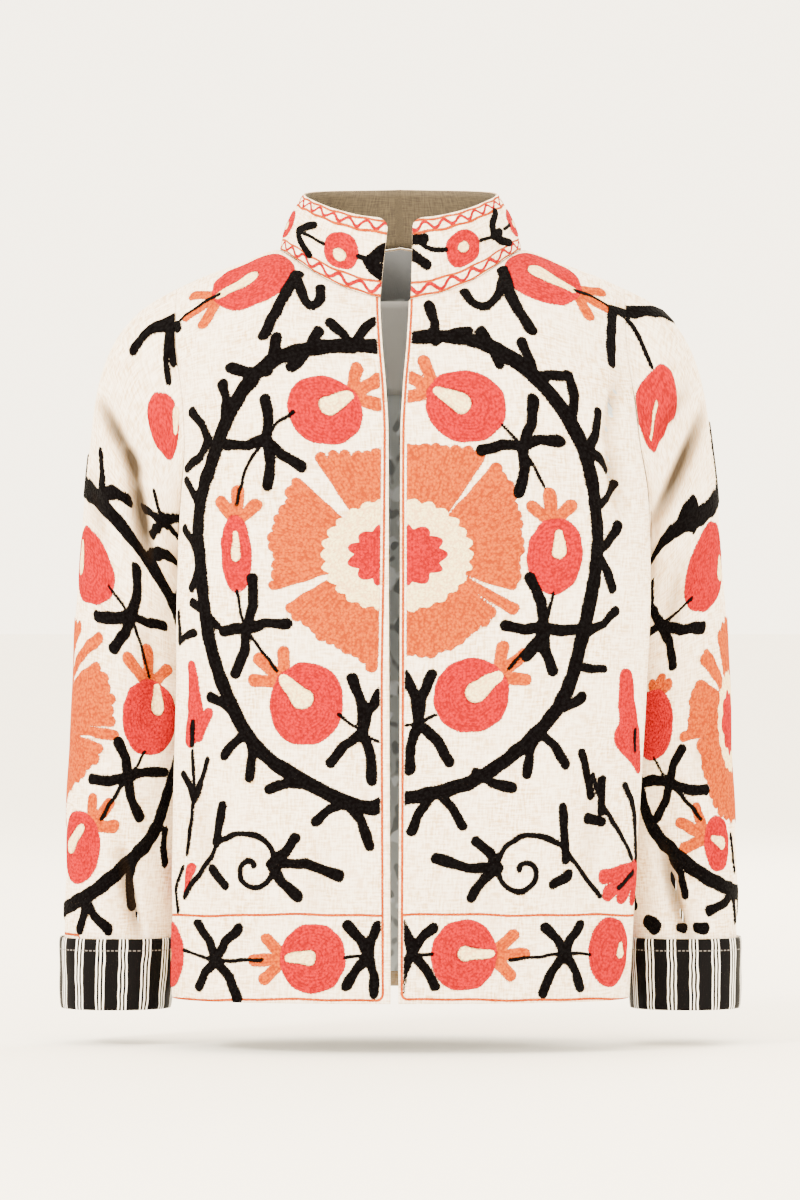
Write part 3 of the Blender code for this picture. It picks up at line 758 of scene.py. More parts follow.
@dataclass(frozen=True)
class Sprig:
    """Black strokes that leave one joint, each with a length and a direction."""

    u: float
    v: float
    width: float
    arms: tuple

    BEND, START, KNEE = 9, 0.95, 0.9

    def stitch(self, canvas: Canvas) -> None:
        """Draws each stroke, a little bent and a little wider at its far end."""
        knee = self.width * self.KNEE
        for number, (length, angle) in enumerate(self.arms):
            bend = np.radians(angle + (self.BEND if number % 2 else -self.BEND))
            middle = polar(self.u, self.v, length / 2, bend)
            tip = polar(self.u, self.v, length, np.radians(angle))
            canvas.bar(Thread.BLACK, (self.u, self.v), middle, self.width * self.START, knee)
            canvas.bar(Thread.BLACK, middle, tip, knee, self.width)


@dataclass(frozen=True)
class Stem:
    """A line of black chain stitch through points."""

    width: float
    points: tuple

    def stitch(self, canvas: Canvas) -> None:
        """Draws the line, rounded at its bends by cutting its corners twice."""
        line = np.array(self.points, float)
        for _ in range(2 if len(line) > 2 else 0):
            a, b = 0.75 * line[:-1] + 0.25 * line[1:], 0.25 * line[:-1] + 0.75 * line[1:]
            cut = np.stack([a, b], axis=1).reshape(-1, 2)
            line = np.concatenate([line[:1], cut, line[-1:]])
        canvas.line(Thread.BLACK, self.width, tuple(map(tuple, line)))


def sprigs(*values: tuple) -> tuple:
    """Sprigs from rows of u, v, width, and then each arm's length and direction in turn."""
    return tuple(Sprig(*row[:3], tuple(zip(row[3::2], row[4::2]))) for row in values)


def stems(*values: tuple) -> tuple:
    """Stems from rows of the width, and then each point's u and v in turn."""
    return tuple(Stem(row[0], tuple(zip(row[1::2], row[2::2]))) for row in values)


@dataclass(frozen=True)
class Quarter:
    """A quarter of a rounded oval: its half-width, half-height and squareness."""

    half_width: float
    half_height: float
    square: float


@dataclass(frozen=True)
class Wreath:
    """A thick black ring of four unequal quarters, from the upper right one round."""

    u: float
    v: float
    width: float
    quarters: tuple
    start: float = 0
    end: float = 360
    points: int = 80

    def stitch(self, canvas: Canvas) -> None:
        """Draws the ring as a line through points of its quarters."""
        angle = np.linspace(self.start, self.end, self.points + 1)
        number = np.minimum((angle % 360) // 90, 3).astype(int)
        across, up, square = (
            np.array([getattr(quarter, field.name) for quarter in self.quarters])[number]
            for field in fields(Quarter)
        )
        high, wide = rounded(angle / 90, square)
        uneven = 1 + 0.008 * np.sin(np.radians(angle * 7)) + 0.006 * np.cos(np.radians(angle * 11))
        u, v = self.u + across * wide * uneven, self.v + up * high * uneven
        canvas.line(Thread.BLACK, self.width, tuple(zip(u, v)))


@dataclass(frozen=True)
class Curl:
    """A thin black stem that winds into a spiral."""

    width: float
    u: float
    v: float
    outer: float
    inner: float
    start: float
    sweep: float
    root: tuple
    points: int = 40

    def stitch(self, canvas: Canvas) -> None:
        """Draws the stem from its root and round: the radius shrinks evenly with the turn."""
        share = np.linspace(0, 1, self.points + 1)
        radius = self.outer + (self.inner - self.outer) * share**0.6
        u, v = polar(self.u, self.v, radius, np.radians(self.start + self.sweep * share))
        canvas.line(Thread.BLACK, self.width, (self.root, *zip(u, v)))


@dataclass(frozen=True)
class Fan:
    """Petal strokes side by side, with tips between two directions."""

    start: float
    end: float
    reach: tuple


@dataclass(frozen=True)
class Rosette:
    """A coral heart in a scalloped cream ring, in fans of orange petal strokes."""

    u: float
    v: float
    ring: tuple
    heart: tuple
    fans: tuple
    loops: int = 28
    points: int = 13
    pitch: float = 8.3
    stroke: float = 9.8

    ROOT, ROOT_SHARE, LOOP_DEPTH, POINT_DEPTH, UNEVEN = 8.0, 0.8, 0.07, 0.16, 1.3

    def lobed(self, canvas: Canvas, size: tuple, count: int, depth: float) -> Array:
        """Distance to an oval whose edge is a row of round lobes."""
        du, dv = canvas.u - self.u, canvas.v - self.v
        a, b = du / size[0], dv / size[1]
        lobe = 1 - depth * (1 - np.abs(np.cos(count * np.arctan2(b, a) / 2)))
        return np.hypot(du, dv) * (1 - lobe / np.maximum(np.hypot(a, b), 1e-6))

    def stitch(self, canvas: Canvas) -> None:
        """Draws each fan's strokes from under the ring out, then the ring and the heart."""
        for fan in self.fans:
            span = np.radians(abs(fan.end - fan.start)) * np.mean(fan.reach)
            count = max(1, round(span / self.pitch) + 1)
            turn = np.radians(np.linspace(fan.start, fan.end, count))
            at = np.linspace(0, len(fan.reach) - 1, count)
            reach = np.interp(at, np.arange(len(fan.reach)), fan.reach) - self.stroke / 2
            reach = reach + self.UNEVEN * np.sin(5.1 * at + fan.start)
            for way, far in zip(turn, reach):
                c, s = self.ROOT_SHARE * np.cos(way), self.ROOT_SHARE * np.sin(way)
                root = (self.u + self.ring[0] * c, self.v + self.ring[1] * s)
                tip = polar(self.u, self.v, far, way)
                canvas.bar(Thread.ORANGE, root, tip, self.ROOT, self.stroke)
        ring = self.lobed(canvas, self.ring, self.loops, self.LOOP_DEPTH)
        heart = self.lobed(canvas, self.heart, self.points, self.POINT_DEPTH)
        canvas.add(Thread.CREAM, np.maximum(ring, -heart))
        canvas.add(Thread.CORAL, heart)


@dataclass(frozen=True)
class Petal:
    """A drop from a base to a tip, with a width at each."""

    base: tuple
    tip: tuple
    width: float
    tip_width: float
    thread: Thread = Thread.CORAL

    def stitch(self, canvas: Canvas) -> None:
        """Draws one tapering stroke."""
        canvas.bar(self.thread, self.base, self.tip, self.width, self.tip_width)


@dataclass(frozen=True)
class Round:
    """A coral round with a small cream one in it."""

    middle: tuple
    size: float
    eye: tuple
    eye_size: float

    SQUARE = 2.15

    def stitch(self, canvas: Canvas) -> None:
        """Draws the round and its eye."""
        canvas.oval(Thread.CORAL, self.middle, (self.size / 2, self.size / 2), self.SQUARE)
        canvas.oval(Thread.CREAM, self.eye, (self.eye_size / 2, self.eye_size / 2))


# ---- where each figure stands, in flat millimetres

BODY_ROSETTE = Rosette(
    -14, 373, (63, 49), (42, 28.5),
    rows(
        Fan, (84, 50, (91, 95, 101, 112)), (41, -15, (113, 110, 106, 104, 102, 103)),
        (-25, -25, (111,)), (-32, -86, (97, 92, 92, 90, 85)), (96, 128, (89, 90, 106)),
        (144, 194, (106, 103, 105, 106, 101, 109)), (207, 258, (103, 96, 94, 91, 99)),
    ),
)

BODY_MEDALLION = (
    Wreath(
        -14, 362, 11.6,
        rows(Quarter, (162, 190, 2.7), (164, 181, 2.6), (164, 198, 2.1), (162, 191, 2.2)),
    ),
    *rows(
        Fruit, (-69, 489, 60, 54, 28, 8, 6), (46, 493, 66, 57, 150, -9, 5),
        (-145, 374, 26, 67, 87, 0, 6, 26, 0.95, 0.3), (114, 372, 45, 65, 95, 3, 9, 27, 0.5, 0.26),
        (-87, 249, 62, 69, 136, -8, 9), (50, 256, 63, 62, 38, 9, 7),
    ),
    *sprigs(
        (-118, 467, 9, 31, 86, 32, -177, 34, -39, 36, -91),
        (89, 461, 9, 37, 72, 30, 8, 33, -175, 36, -97),
        (-138, 311, 9, 42, 82, 34, 8, 20, -175, 38, -105),
        (108, 313, 9, 43, 108, 32, 178, 30, -4, 28, -118, 38, -76),
        (-39, 225, 9, 47, 103, 36, 68, 36, -136, 41, -77),
        (7, 233, 9, 43, 108, 42, 77, 39, -98, 42, -50), (-40, 540, 8.4, 28, 130, 30, 54),
        (-92, 521, 8.4, 41, 53), (-112, 519, 9, 29, 68, 30, 160), (-150, 490, 8.4, 27, 88),
        (-167, 471, 8.6, 31, 118, 33, -138), (-176, 404, 7.6, 38, 117),
        (-178, 372, 7.6, 30, 127, 29, -110), (-164, 314, 7.8, 30, 141), (-148, 240, 8, 27, 148),
        (-136, 225, 8.4, 28, -137, 38, -87), (-83, 183, 8.4, 34, -172),
        (-50, 168, 8.4, 31, -147, 42, -61), (28, 546, 8.4, 33, 98, 29, 16),
        (78, 525, 8.4, 31, 113), (103, 512, 8.4, 30, 100, 28, 14), (130, 486, 8.4, 35, 88),
        (141, 460, 8.4, 36, 70, 24, -35), (146, 413, 8, 32, 41), (148, 375, 8.4, 32, 48, 35, -58),
        (145, 309, 8, 31, 34), (142, 280, 7, 19, -6), (128, 246, 9, 17, 30),
        (108, 226, 8.4, 36, -102, 37, -48), (57, 192, 8.4, 34, -22),
        (24, 176, 8.4, 38, -120, 37, -50),
    ),
    *stems(
        (2.2, -118, 467, -106, 481, -94, 486), (2.2, -118, 467, -136, 448, -144, 416),
        (2.2, -145, 342, -143, 325, -138, 311), (2.2, -138, 311, -128, 296, -112, 276),
        (2.2, -60, 240, -39, 225, -16, 213), (2.2, 74, 478, 89, 461, 105, 429),
        (2.2, 114, 341, 112, 326, 108, 313), (2.2, 108, 313, 98, 300, 80, 278),
        (2.2, 21, 240, 7, 233, -8, 230),
    ),
)

BODY_SIDES = (
    Curl(4.2, -131, 113, 36, 3, 142, -470, (-193, 92)),
    Curl(4.2, 101, 111, 38, 3, 32, 500, (172, 92)),
    *rows(
        Petal, ((-186, 232), (-190, 280), 19, 9), ((-192, 218), (-188, 238), 13, 16),
        ((-184, 222), (-173, 241), 12, 10), ((-188, 113), (-193, 93), 9.5, 3.5),
        ((191, 221), (207, 195), 31, 11), ((188, 246), (192, 224), 19, 26),
        ((184, 271), (187, 247), 15, 19), ((214, 116), (176, 106), 8, 12),
        ((212, 112), (180, 94), 8, 12), ((214, 110), (194, 91), 8, 12),
        ((216, 112), (210, 90), 8, 12),
    ),
    *sprigs(
        (-114, 117, 8.8, 29, 44, 60, -9, 35, -47), (80, 114, 8.8, 29, 134, 54, 172, 32, -134),
        (-190, 168, 6.6, 25, 119, 16, 60), (-207, 300, 7, 24, 100, 22, 20),
    ),
    *stems(
        (8.2, -164, 133, -158, 164), (8.2, -168, 112, -155, 100), (7.6, 138, 120, 133, 163),
        (8.2, 141, 108, 128, 101), (3.4, -190, 209, -190, 166, -193, 124),
        (5, -186, 172, -173, 202), (4.2, -190, 214, -189, 234),
        (3.6, -196, 113, -206, 98, -202, 80), (3.6, 206, 120, 184, 146, 171, 164, 160, 190),
        (7.4, 160, 172, 147, 208), (6.4, 171, 158, 169, 186), (8.2, 171, 150, 158, 153),
        (6, 191, 180, 208, 158, 214, 120), (3, 198, 226, 199, 210), (3.4, 208, 110, 190, 98),
    ),
)

BACK_SHOULDERS = (
    *rows(
        Fruit, (-120, 608, 67, 60, -163, -12, -2, 34, 0.55, 0.22),
        (116, 610, 62, 60, -16, 6, -2, 32, 0.6, 0.24),
    ),
    *stems(
        (8.4, -194, 587, -188, 586, -187, 580), (3, -148, 602, -168, 596, -189, 587),
        (3, 142, 603, 163, 603, 178, 599), (9.6, 176, 598, 174, 570, 172, 543),
        (9.4, 177, 598, 200, 603, 224, 606),
    ),
)

BODY_SHOULDERS = (
    *BACK_SHOULDERS,
    *stems(
        (3.4, 184, 596, 204, 588, 224, 574), (9, -84, 606, -98, 575, -111, 549),
        (9, 84, 612, 90, 580, 106, 552), (7.6, -85, 603, -80, 581, -73, 574, -66, 580, -66, 594),
        (7.6, 85, 604, 80, 582, 70, 574, 58, 580, 53, 591),
    ),
)

HEM_ROW = (
    *rows(
        Fruit, (-76, 40, 57, 58, 180, -9, 1, 30, 0.42, 0.24),
        (53, 43, 57, 59, 0, 9, 1, 30, 0.5, 0.22), (184, 46, 42, 59, 90, 11, 0, 0, 0.26, 0.2),
        (-217, 43, 44, 56, 180, -14, 0, 0),
    ),
    *sprigs(
        (-162, 39, 8.6, 35, 120, 33, 52, 27, -126, 38, -58),
        (-28, 41, 8.6, 33, 125, 27, 76, 30, -128, 30, -80),
        (8, 44, 8.6, 27, 110, 28, 51, 31, -106, 34, -52),
        (141, 44, 8.6, 29, 130, 27, 62, 37, -120, 32, -62),
    ),
    *stems(
        (2.6, -195, 47, -178, 43, -162, 38, -120, 39), (2.6, -48, 41, -28, 43),
        (2.6, 8, 44, 26, 44), (2.6, 92, 39, 112, 41, 141, 45, 165, 44),
    ),
)

SLEEVE_SHARED = (
    *rows(
        Fruit, (-66, 345, 52, 56, 92, -2, 12, 28), (-122, 240, 50, 62, 88, -4, 14, 28),
        (-72, 140, 50, 56, 130, -8, 6, 28), (-86, 470, 50, 50, 70, 4, 10, 28),
    ),
    *sprigs(
        (-108, 320, 8.6, 38, 95, 34, 175, 33, 12, 34, -80),
        (-108, 178, 8.6, 34, 70, 32, 168, 34, -110, 32, -8), (-66, 90, 8.4, 30, -100, 28, -170),
        (-122, 116, 8.4, 30, -120, 26, 160), (-158, 200, 8.4, 26, -160, 26, 140),
        (-156, 300, 8.4, 28, 150), (-118, 384, 8.4, 30, 110, 26, 170),
        (-58, 396, 8.4, 34, 120, 28, 60),
    ),
    *stems((2.2, -108, 320, -118, 300), (2.2, -118, 210, -108, 178, -92, 164)),
)

SLEEVE_LEFT = (
    *SLEEVE_SHARED,
    Wreath(
        -5, 239, 12.5,
        rows(Quarter, (149, 157, 5.2), (149, 157, 3.2), (149, 158, 2.2), (149, 160, 1.95)),
    ),
    Rosette(
        -22, 237, (27, 40), (20, 26),
        rows(
            Fan, (72, 55, (78, 88)), (41, 39, (107,)), (30, 3, (94, 98, 98, 96)),
            (-4, -4, (100,)), (-13, -66, (90, 84, 76, 70, 72)), (84, 130, (84, 88, 92)),
            (142, 200, (90, 86, 92)), (212, 284, (90, 84, 88)),
        ),
        18, 9,
    ),
    *rows(
        Fruit, (37, 350, 62, 50, 90, -16, 1, 0, 0.4, 0.3),
        (107, 249, 53, 68, 95, 6, 16, 34, 0.5, 0.22),
        (42, 135, 52, 62, 48, -4, 6, 28, 0.55, 0.26),
    ),
    *sprigs(
        (85, 333, 9.2, 43, 85, 36, -157, 33, 13, 36, -115),
        (90, 196, 9.2, 31, 112, 36, 8, 37, -68, 34, -174), (48, 402, 8.6, 24, 106, 34, 35),
        (136, 330, 8.4, 30, 60, 26, 10), (132, 150, 8, 27, -86), (100, 128, 8.8, 42, -88),
        (52, 93, 9, 38, -45, 28, -100),
    ),
    *stems(
        (2.2, 62, 346, 85, 333, 97, 306, 104, 284), (2.2, 104, 218, 97, 204, 90, 196),
        (3.4, 90, 196, 78, 178, 68, 160), (7, 4, 410, 3, 399),
        (5.5, 101, 458, 114, 448, 149, 517), (6, 91, 431, 114, 448, 155, 494),
        (6, 114, 448, 102, 419), (9, 104, 402, 116, 418, 148, 446, 147, 410, 136, 384),
        (16, 104, 394, 122, 383, 138, 371, 154, 352), (8.6, 42, 526, 38, 514, 42, 500),
        (5, 48, 525, 60, 522, 72, 520),
    ),
)

LEFT_DROP = (
    *rows(Petal, ((86, 503), (92, 509), 29, 31), ((90, 522), (97, 519), 8, 5, Thread.CREAM)),
    *stems((8.6, 40, 532, 40, 520), (7, 48, 529, 64, 528), (3.6, 46, 526, 60, 522, 72, 519)),
)

RIGHT_DROP = (
    *rows(Petal, ((65, 495), (90, 515), 27, 31), ((78, 507), (99, 514), 3.4, 2.2, Thread.CREAM)),
    *stems((9.5, 36, 532, 28, 522), (3.4, 40, 530, 48, 520)),
)

SLEEVE_RIGHT = (
    *SLEEVE_SHARED,
    Wreath(
        0, 241, 12.5,
        rows(Quarter, (149, 157, 4.0), (149, 157, 3.2), (149, 158, 2.2), (149, 146, 2.0)),
        100, 382,
    ),
    Rosette(
        20, 236, (25, 40), (19, 26),
        rows(
            Fan, (100, 78, (78, 72)), (57, 53, (71,)), (36, 0, (64, 62, 60)), (-5, -5, (68,)),
            (-17, -92, (52, 56, 66, 82, 80)), (112, 160, (84, 88, 92)), (172, 222, (90, 86, 92)),
            (232, 262, (90, 84)),
        ),
        18, 9,
    ),
    *rows(
        Fruit, (50, 353, 66, 58, 90, -24, -8, 0, 0.24, 0.22), (120, 244, 50, 66, 104, 18, 14, 17),
        (50, 138, 34, 48, 24, -1, 2, 32, 0.5, 0.3),
    ),
    *rows(
        Petal, ((121, 70), (130, 73), 15, 12, Thread.BLACK),
        ((90, 67), (95, 68), 9, 7, Thread.BLACK), ((68, 67), (76, 68), 11, 8, Thread.BLACK),
        ((150, 86), (152, 92), 8, 6, Thread.BLACK),
    ),
    *sprigs(
        (110, 337, 9.2, 66, 71, 56, -155, 46, -108, 24, -7),
        (101, 192, 9.2, 31, 117, 39, -168, 34, -64, 38, -2), (100, 127, 8, 34, -112),
        (26, 98, 9, 40, -24, 28, -110),
    ),
    *stems(
        (13, -30, 398, 48, 385, 88, 412, 146, 446), (8, 4, 393, 8, 410, 2, 428),
        (9, 66, 392, 62, 408, 84, 420, 96, 414), (2.2, 110, 337, 90, 339, 73, 341),
        (2.2, 101, 192, 112, 204, 118, 213), (3.4, 101, 192, 85, 176, 70, 160),
        (5, 29, 145, 20, 113), (9.5, 33, 527, 24, 519, 6, 506, -4, 498),
        (3.4, 43, 526, 48, 520, 60, 511),
    ),
)

COLLAR_FIGURES = (
    *rows(
        Round, ((-48, 29), 31, (-48, 25), 11), ((-124, 29), 31, (-124, 27), 10),
        ((51, 30), 31, (51, 31), 10), ((126, 30), 31, (126, 29), 10),
        ((196, 30), 31, (196, 28), 10), ((268, 30), 31, (268, 29), 10),
        ((-196, 30), 31, (-196, 27), 10),
    ),
    *stems(
        (7.5, -79, 41, -90, 34, -98, 28, -88, 19, -76, 13), (3, -98, 28, -80, 29, -64, 29),
        (4.2, -32, 28, -22, 27), (6.5, -25, 27, -18, 35, -11, 39), (6, -25, 27, -17, 30, -11, 31),
        (6, -25, 27, -18, 24, -13, 23), (6.5, -26, 26, -20, 19, -14, 16), (8.5, 10, 45, 19, 45),
        (3.2, 16, 41, 24, 36, 36, 33), (7.2, 8, 34, 14, 30, 20, 24), (3.6, 68, 30, 83, 28),
        (9, 84, 28, 92, 28), (7.5, 84, 30, 86, 40, 98, 48), (7.5, 86, 25, 92, 18, 102, 13),
        (3.4, 100, 29, 112, 30), (7.5, 156, 42, 166, 30, 156, 17), (3.2, 140, 29, 166, 30),
        (7.5, 228, 42, 238, 30, 228, 17), (3.2, 212, 29, 238, 30),
        (7.5, -152, 42, -162, 30, -152, 17), (3.2, -140, 29, -162, 30),
        (7.5, -226, 42, -236, 30, -226, 17), (3.2, -212, 29, -250, 30),
    ),
)

# ---- finishes


def linear(hex_colour: str) -> tuple:
    """An sRGB hex colour as linear light."""
    value = np.array([int(hex_colour[i : i + 2], 16) for i in (1, 3, 5)]) / 255
    light = np.where(value <= 0.04045, value / 12.92, ((value + 0.055) / 1.055) ** 2.4)
    return (*light.tolist(), 1.0)


class Nodes:
    """A material with a Principled shader and short ways to add nodes to it."""

    def __init__(self, name: str) -> None:
        """Makes the material."""
        self.material = bpy.data.materials.new(name)
        self.material.use_nodes = True
        self.tree = self.material.node_tree
        self.shader = self.tree.nodes["Principled BSDF"]

    def feed(self, socket: Socket, value: object) -> None:
        """Links an output to a socket, or sets a constant. Hex colours are turned linear."""
        if isinstance(value, Socket):
            self.tree.links.new(value, socket)
        else:
            socket.default_value = linear(value) if isinstance(value, str) else value

    def add(self, kind: str, inputs: dict, output: object = 0, **settings: object) -> Socket:
        """Adds one node.

        Args:
            kind: The node's type, after the words that all types begin with.
            inputs: Values or output sockets, by input name or number.
            output: Name or number of the output to return.
            settings: Properties of the node.

        Returns:
            One of the node's outputs.
        """
        node = self.tree.nodes.new("ShaderNode" + kind)
        for name, value in settings.items():
            setattr(node, name, value)
        for key, value in inputs.items():
            self.feed(node.inputs[key], value)
        return node.outputs[output]

    def math(self, operation: str, *values: object) -> Socket:
        """The result of one sum."""
        return self.add("Math", dict(enumerate(values)), operation=operation)

    def read(self, name: str) -> Socket:
        """A number kept on the mesh."""
        return self.add("Attribute", {}, "Fac", attribute_name=name)

    def flat(self, scale_u: float, scale_v: float) -> Socket:
        """Flat cloth coordinates in metres, times a scale each way."""
        place = self.add("Attribute", {}, "Vector", attribute_name="flat")
        return self.add("VectorMath", {0: place, 1: (scale_u, scale_v, 1)}, operation="MULTIPLY")

    def axis(self, number: int) -> Socket:
        """One flat coordinate in millimetres."""
        return self.add("SeparateXYZ", {0: self.flat(1000, 1000)}, number)

    def noise(self, scale_u: float, scale_v: float, detail: float = 2) -> Socket:
        """Noise over the cloth, with its own grain each way."""
        inputs = {"Vector": self.flat(scale_u, scale_v), "Scale": 1.0, "Detail": detail}
        return self.add("TexNoise", inputs, "Fac")

    def weave(self, fine: float, long: float) -> Socket:
        """Threads each way: the mean of two long-grained noises."""
        warp, weft = self.noise(fine, long), self.noise(long, fine)
        return self.math("MULTIPLY", self.math("ADD", warp, weft), 0.5)

    def step(self, value: Socket, low: float, high: float) -> Socket:
        """0 below low, 1 above high and straight between. low may be the larger."""
        inputs = {"Value": value, "From Min": low, "From Max": high}
        return self.add("MapRange", inputs, "Result")

    def mix(self, share: object, a: object, b: object) -> Socket:
        """A blend of two colours."""
        return self.add("Mix", {0: share, 6: a, 7: b}, 2, data_type="RGBA")

    def bump(self, height: Socket, size: float) -> None:
        """Raises the surface by this height, which is 1 at size metres."""
        bump = self.add("Bump", {"Height": height, "Distance": size, "Strength": 1.0})
        self.feed(self.shader.inputs["Normal"], bump)

    def finish(self, colour: object, roughness: float, **shader: float) -> Material:
        """Sets the shader's inputs, each a value or a socket."""
        for name, value in {"Base Color": colour, "Roughness": roughness, **shader}.items():
            self.feed(self.shader.inputs[name.replace("_", " ")], value)
        return self.material


@dataclass(frozen=True)
class EmbroideredCotton:
    """Hand-woven slub cotton with thick wool chain stitch.

    The cotton is matt and warm white, with uneven threads that darken it in fine streaks
    each way. The wool stands on it in rows that follow each figure's outline, with the
    links of the chain as small humps; shade between rows and links is painted into its colour.
    Shade is also painted into the creases, by their depth.
    """

    name: str = "embroidered_cotton"
    cloth: str = "#FCF0DD"
    cloth_dark: str = "#CBAA7C"
    orange: str = "#B24C0A"
    coral: str = "#A40F17"
    cream: str = "#F8EAAE"
    black: str = "#080708"
    roughness: float = 0.88
    threads: tuple = (600, 95)
    wool_grain: float = 800
    chain: float = 400
    height: float = 0.0013
    edge: float = 0.30
    row_width: float = 2.5
    black_swell: float = 0.45
    line_half: float = 1.1
    wave_half: float = 1.4
    # Painted crease shade: warm brown on bare cotton, then near black, by the crease's depth.
    painted_crease_shade: str = "#A5835A"
    painted_crease_shade_range: tuple = (0.8, 7.0)
    painted_crease_shade_share: float = 0.62
    deep: str = "#1C130B"
    painted_crease_dark_range: tuple = (4.5, 13.5)
    painted_crease_dark_share: float = 0.93

    # Painted shade between the rows and links: what a thread keeps of its colour there,
    # in red and in green and blue.
    DIM = {
        Thread.ORANGE: (0.58, 0.42),
        Thread.CORAL: (0.58, 0.42),
        Thread.CREAM: (0.80, 0.6048),
        Thread.BLACK: (0.38, 0.252),
    }

    @staticmethod
    def line(n: Nodes, name: str, half: float, ragged: Socket) -> Socket:
        """1 within half a line's width of where a signed distance is zero."""
        away = n.math("ABSOLUTE", n.math("ADD", n.read(name), n.math("MULTIPLY", ragged, 0.5)))
        return n.step(away, half + 0.2, half - 0.2)

    def build(self) -> Material:
        """Makes the material from the colour distances kept on the mesh."""
        n = Nodes(self.name)
        # Threads are about 0.7 mm apart. They are drawn at 1.7 mm so that they show.
        weave = n.weave(*self.threads)
        worn = n.step(n.noise(28, 22), 0.60, 0.35)
        worn = n.math("ADD", n.math("MULTIPLY", worn, 0.35), 0.6)
        dark = n.math("MULTIPLY", n.step(weave, 0.57, 0.40), worn)
        colour, covered = n.mix(dark, self.cloth, self.cloth_dark), 0.0
        grain = n.noise(self.wool_grain, self.wool_grain)
        ragged = n.math("MULTIPLY", n.math("SUBTRACT", grain, 0.5), 2.2)
        row = n.math("PINGPONG", n.math("ADD", n.read("stitch"), ragged), self.row_width / 2)
        row = n.math("DIVIDE", row, self.row_width / 2)
        cells = {"Vector": n.flat(self.chain, self.chain), "Scale": 1.0, "Randomness": 0.85}
        hump = n.math("SUBTRACT", 1.0, n.add("TexVoronoi", cells, "Distance"))
        wool = n.math("ADD", n.math("MULTIPLY", row, 0.26), hump)
        # Painted shade: darker between the rows and between the chain's links.
        shade = n.step(wool, 0.36, 0.86)
        inside = n.step(n.read("edging"), 0.0, 0.5)
        rule = n.math("MULTIPLY", self.line(n, "ruling", self.line_half, ragged), inside)
        lines = {
            Thread.ORANGE: n.math("MAXIMUM", self.line(n, "edging", self.line_half, ragged), rule),
            Thread.CORAL: self.line(n, "wave", self.wave_half, ragged),
        }
        for thread in Thread:
            swell = self.black_swell if thread is Thread.BLACK else 0.0
            edge = n.math("SUBTRACT", n.math("ADD", n.read(thread.value), ragged), swell)
            mask = n.step(edge, self.edge, -self.edge)
            if thread in lines:
                mask = n.math("MAXIMUM", mask, lines[thread])
            full, (red, other) = linear(getattr(self, thread.value)), self.DIM[thread]
            low = (full[0] * red, full[1] * other, full[2] * other, 1.0)
            colour = n.mix(mask, colour, n.mix(shade, low, full))
            covered = n.math("MAXIMUM", covered, mask)
        # Painted shade: deep in a crease, where the cloth faces itself and takes little warm
        # light, the colour is painted warm brown on bare cotton, then near black at the deepest.
        hollow = n.read("hollow")
        painted_crease_shade = n.math("MULTIPLY", n.step(hollow, *self.painted_crease_shade_range), self.painted_crease_shade_share)
        deep = n.math("MULTIPLY", n.step(hollow, *self.painted_crease_dark_range), self.painted_crease_dark_share)
        colour = n.mix(painted_crease_shade, colour, n.mix(covered, self.painted_crease_shade, colour))
        colour = n.mix(deep, colour, self.deep)
        cloth_height = n.math("MULTIPLY", weave, 0.6)
        n.bump(n.add("Mix", {0: covered, 2: cloth_height, 3: wool}), self.height)
        soft = {"Sheen_Weight": 0.004, "Sheen_Roughness": 0.5, "Specular_IOR_Level": 0.015}
        return n.finish(colour, self.roughness, **soft)


@dataclass(frozen=True)
class PrintedLining:
    """Smooth grey lining with a soft print of paler and darker blots, slightly glossy."""

    name: str = "grey_lining"
    ground: str = "#A2A9B0"
    pale: str = "#CBD3DB"
    dark: str = "#6E747B"
    facing: str = "#4B4E53"
    facing_v: float = 569

    def build(self) -> Material:
        """Makes the material: two noises cut at a level, and a plain dark part by the neck."""
        n = Nodes(self.name)
        colour = n.mix(n.step(n.noise(62, 52, 1.5), 0.56, 0.62), self.ground, self.pale)
        colour = n.mix(n.step(n.noise(70, 56, 1.0), 0.44, 0.38), colour, self.dark)
        upper = n.step(n.axis(1), self.facing_v - 4, self.facing_v)
        n.bump(n.noise(1400, 300), 0.00012)
        return n.finish(n.mix(upper, colour, self.facing), 0.5, Sheen_Weight=0.1)


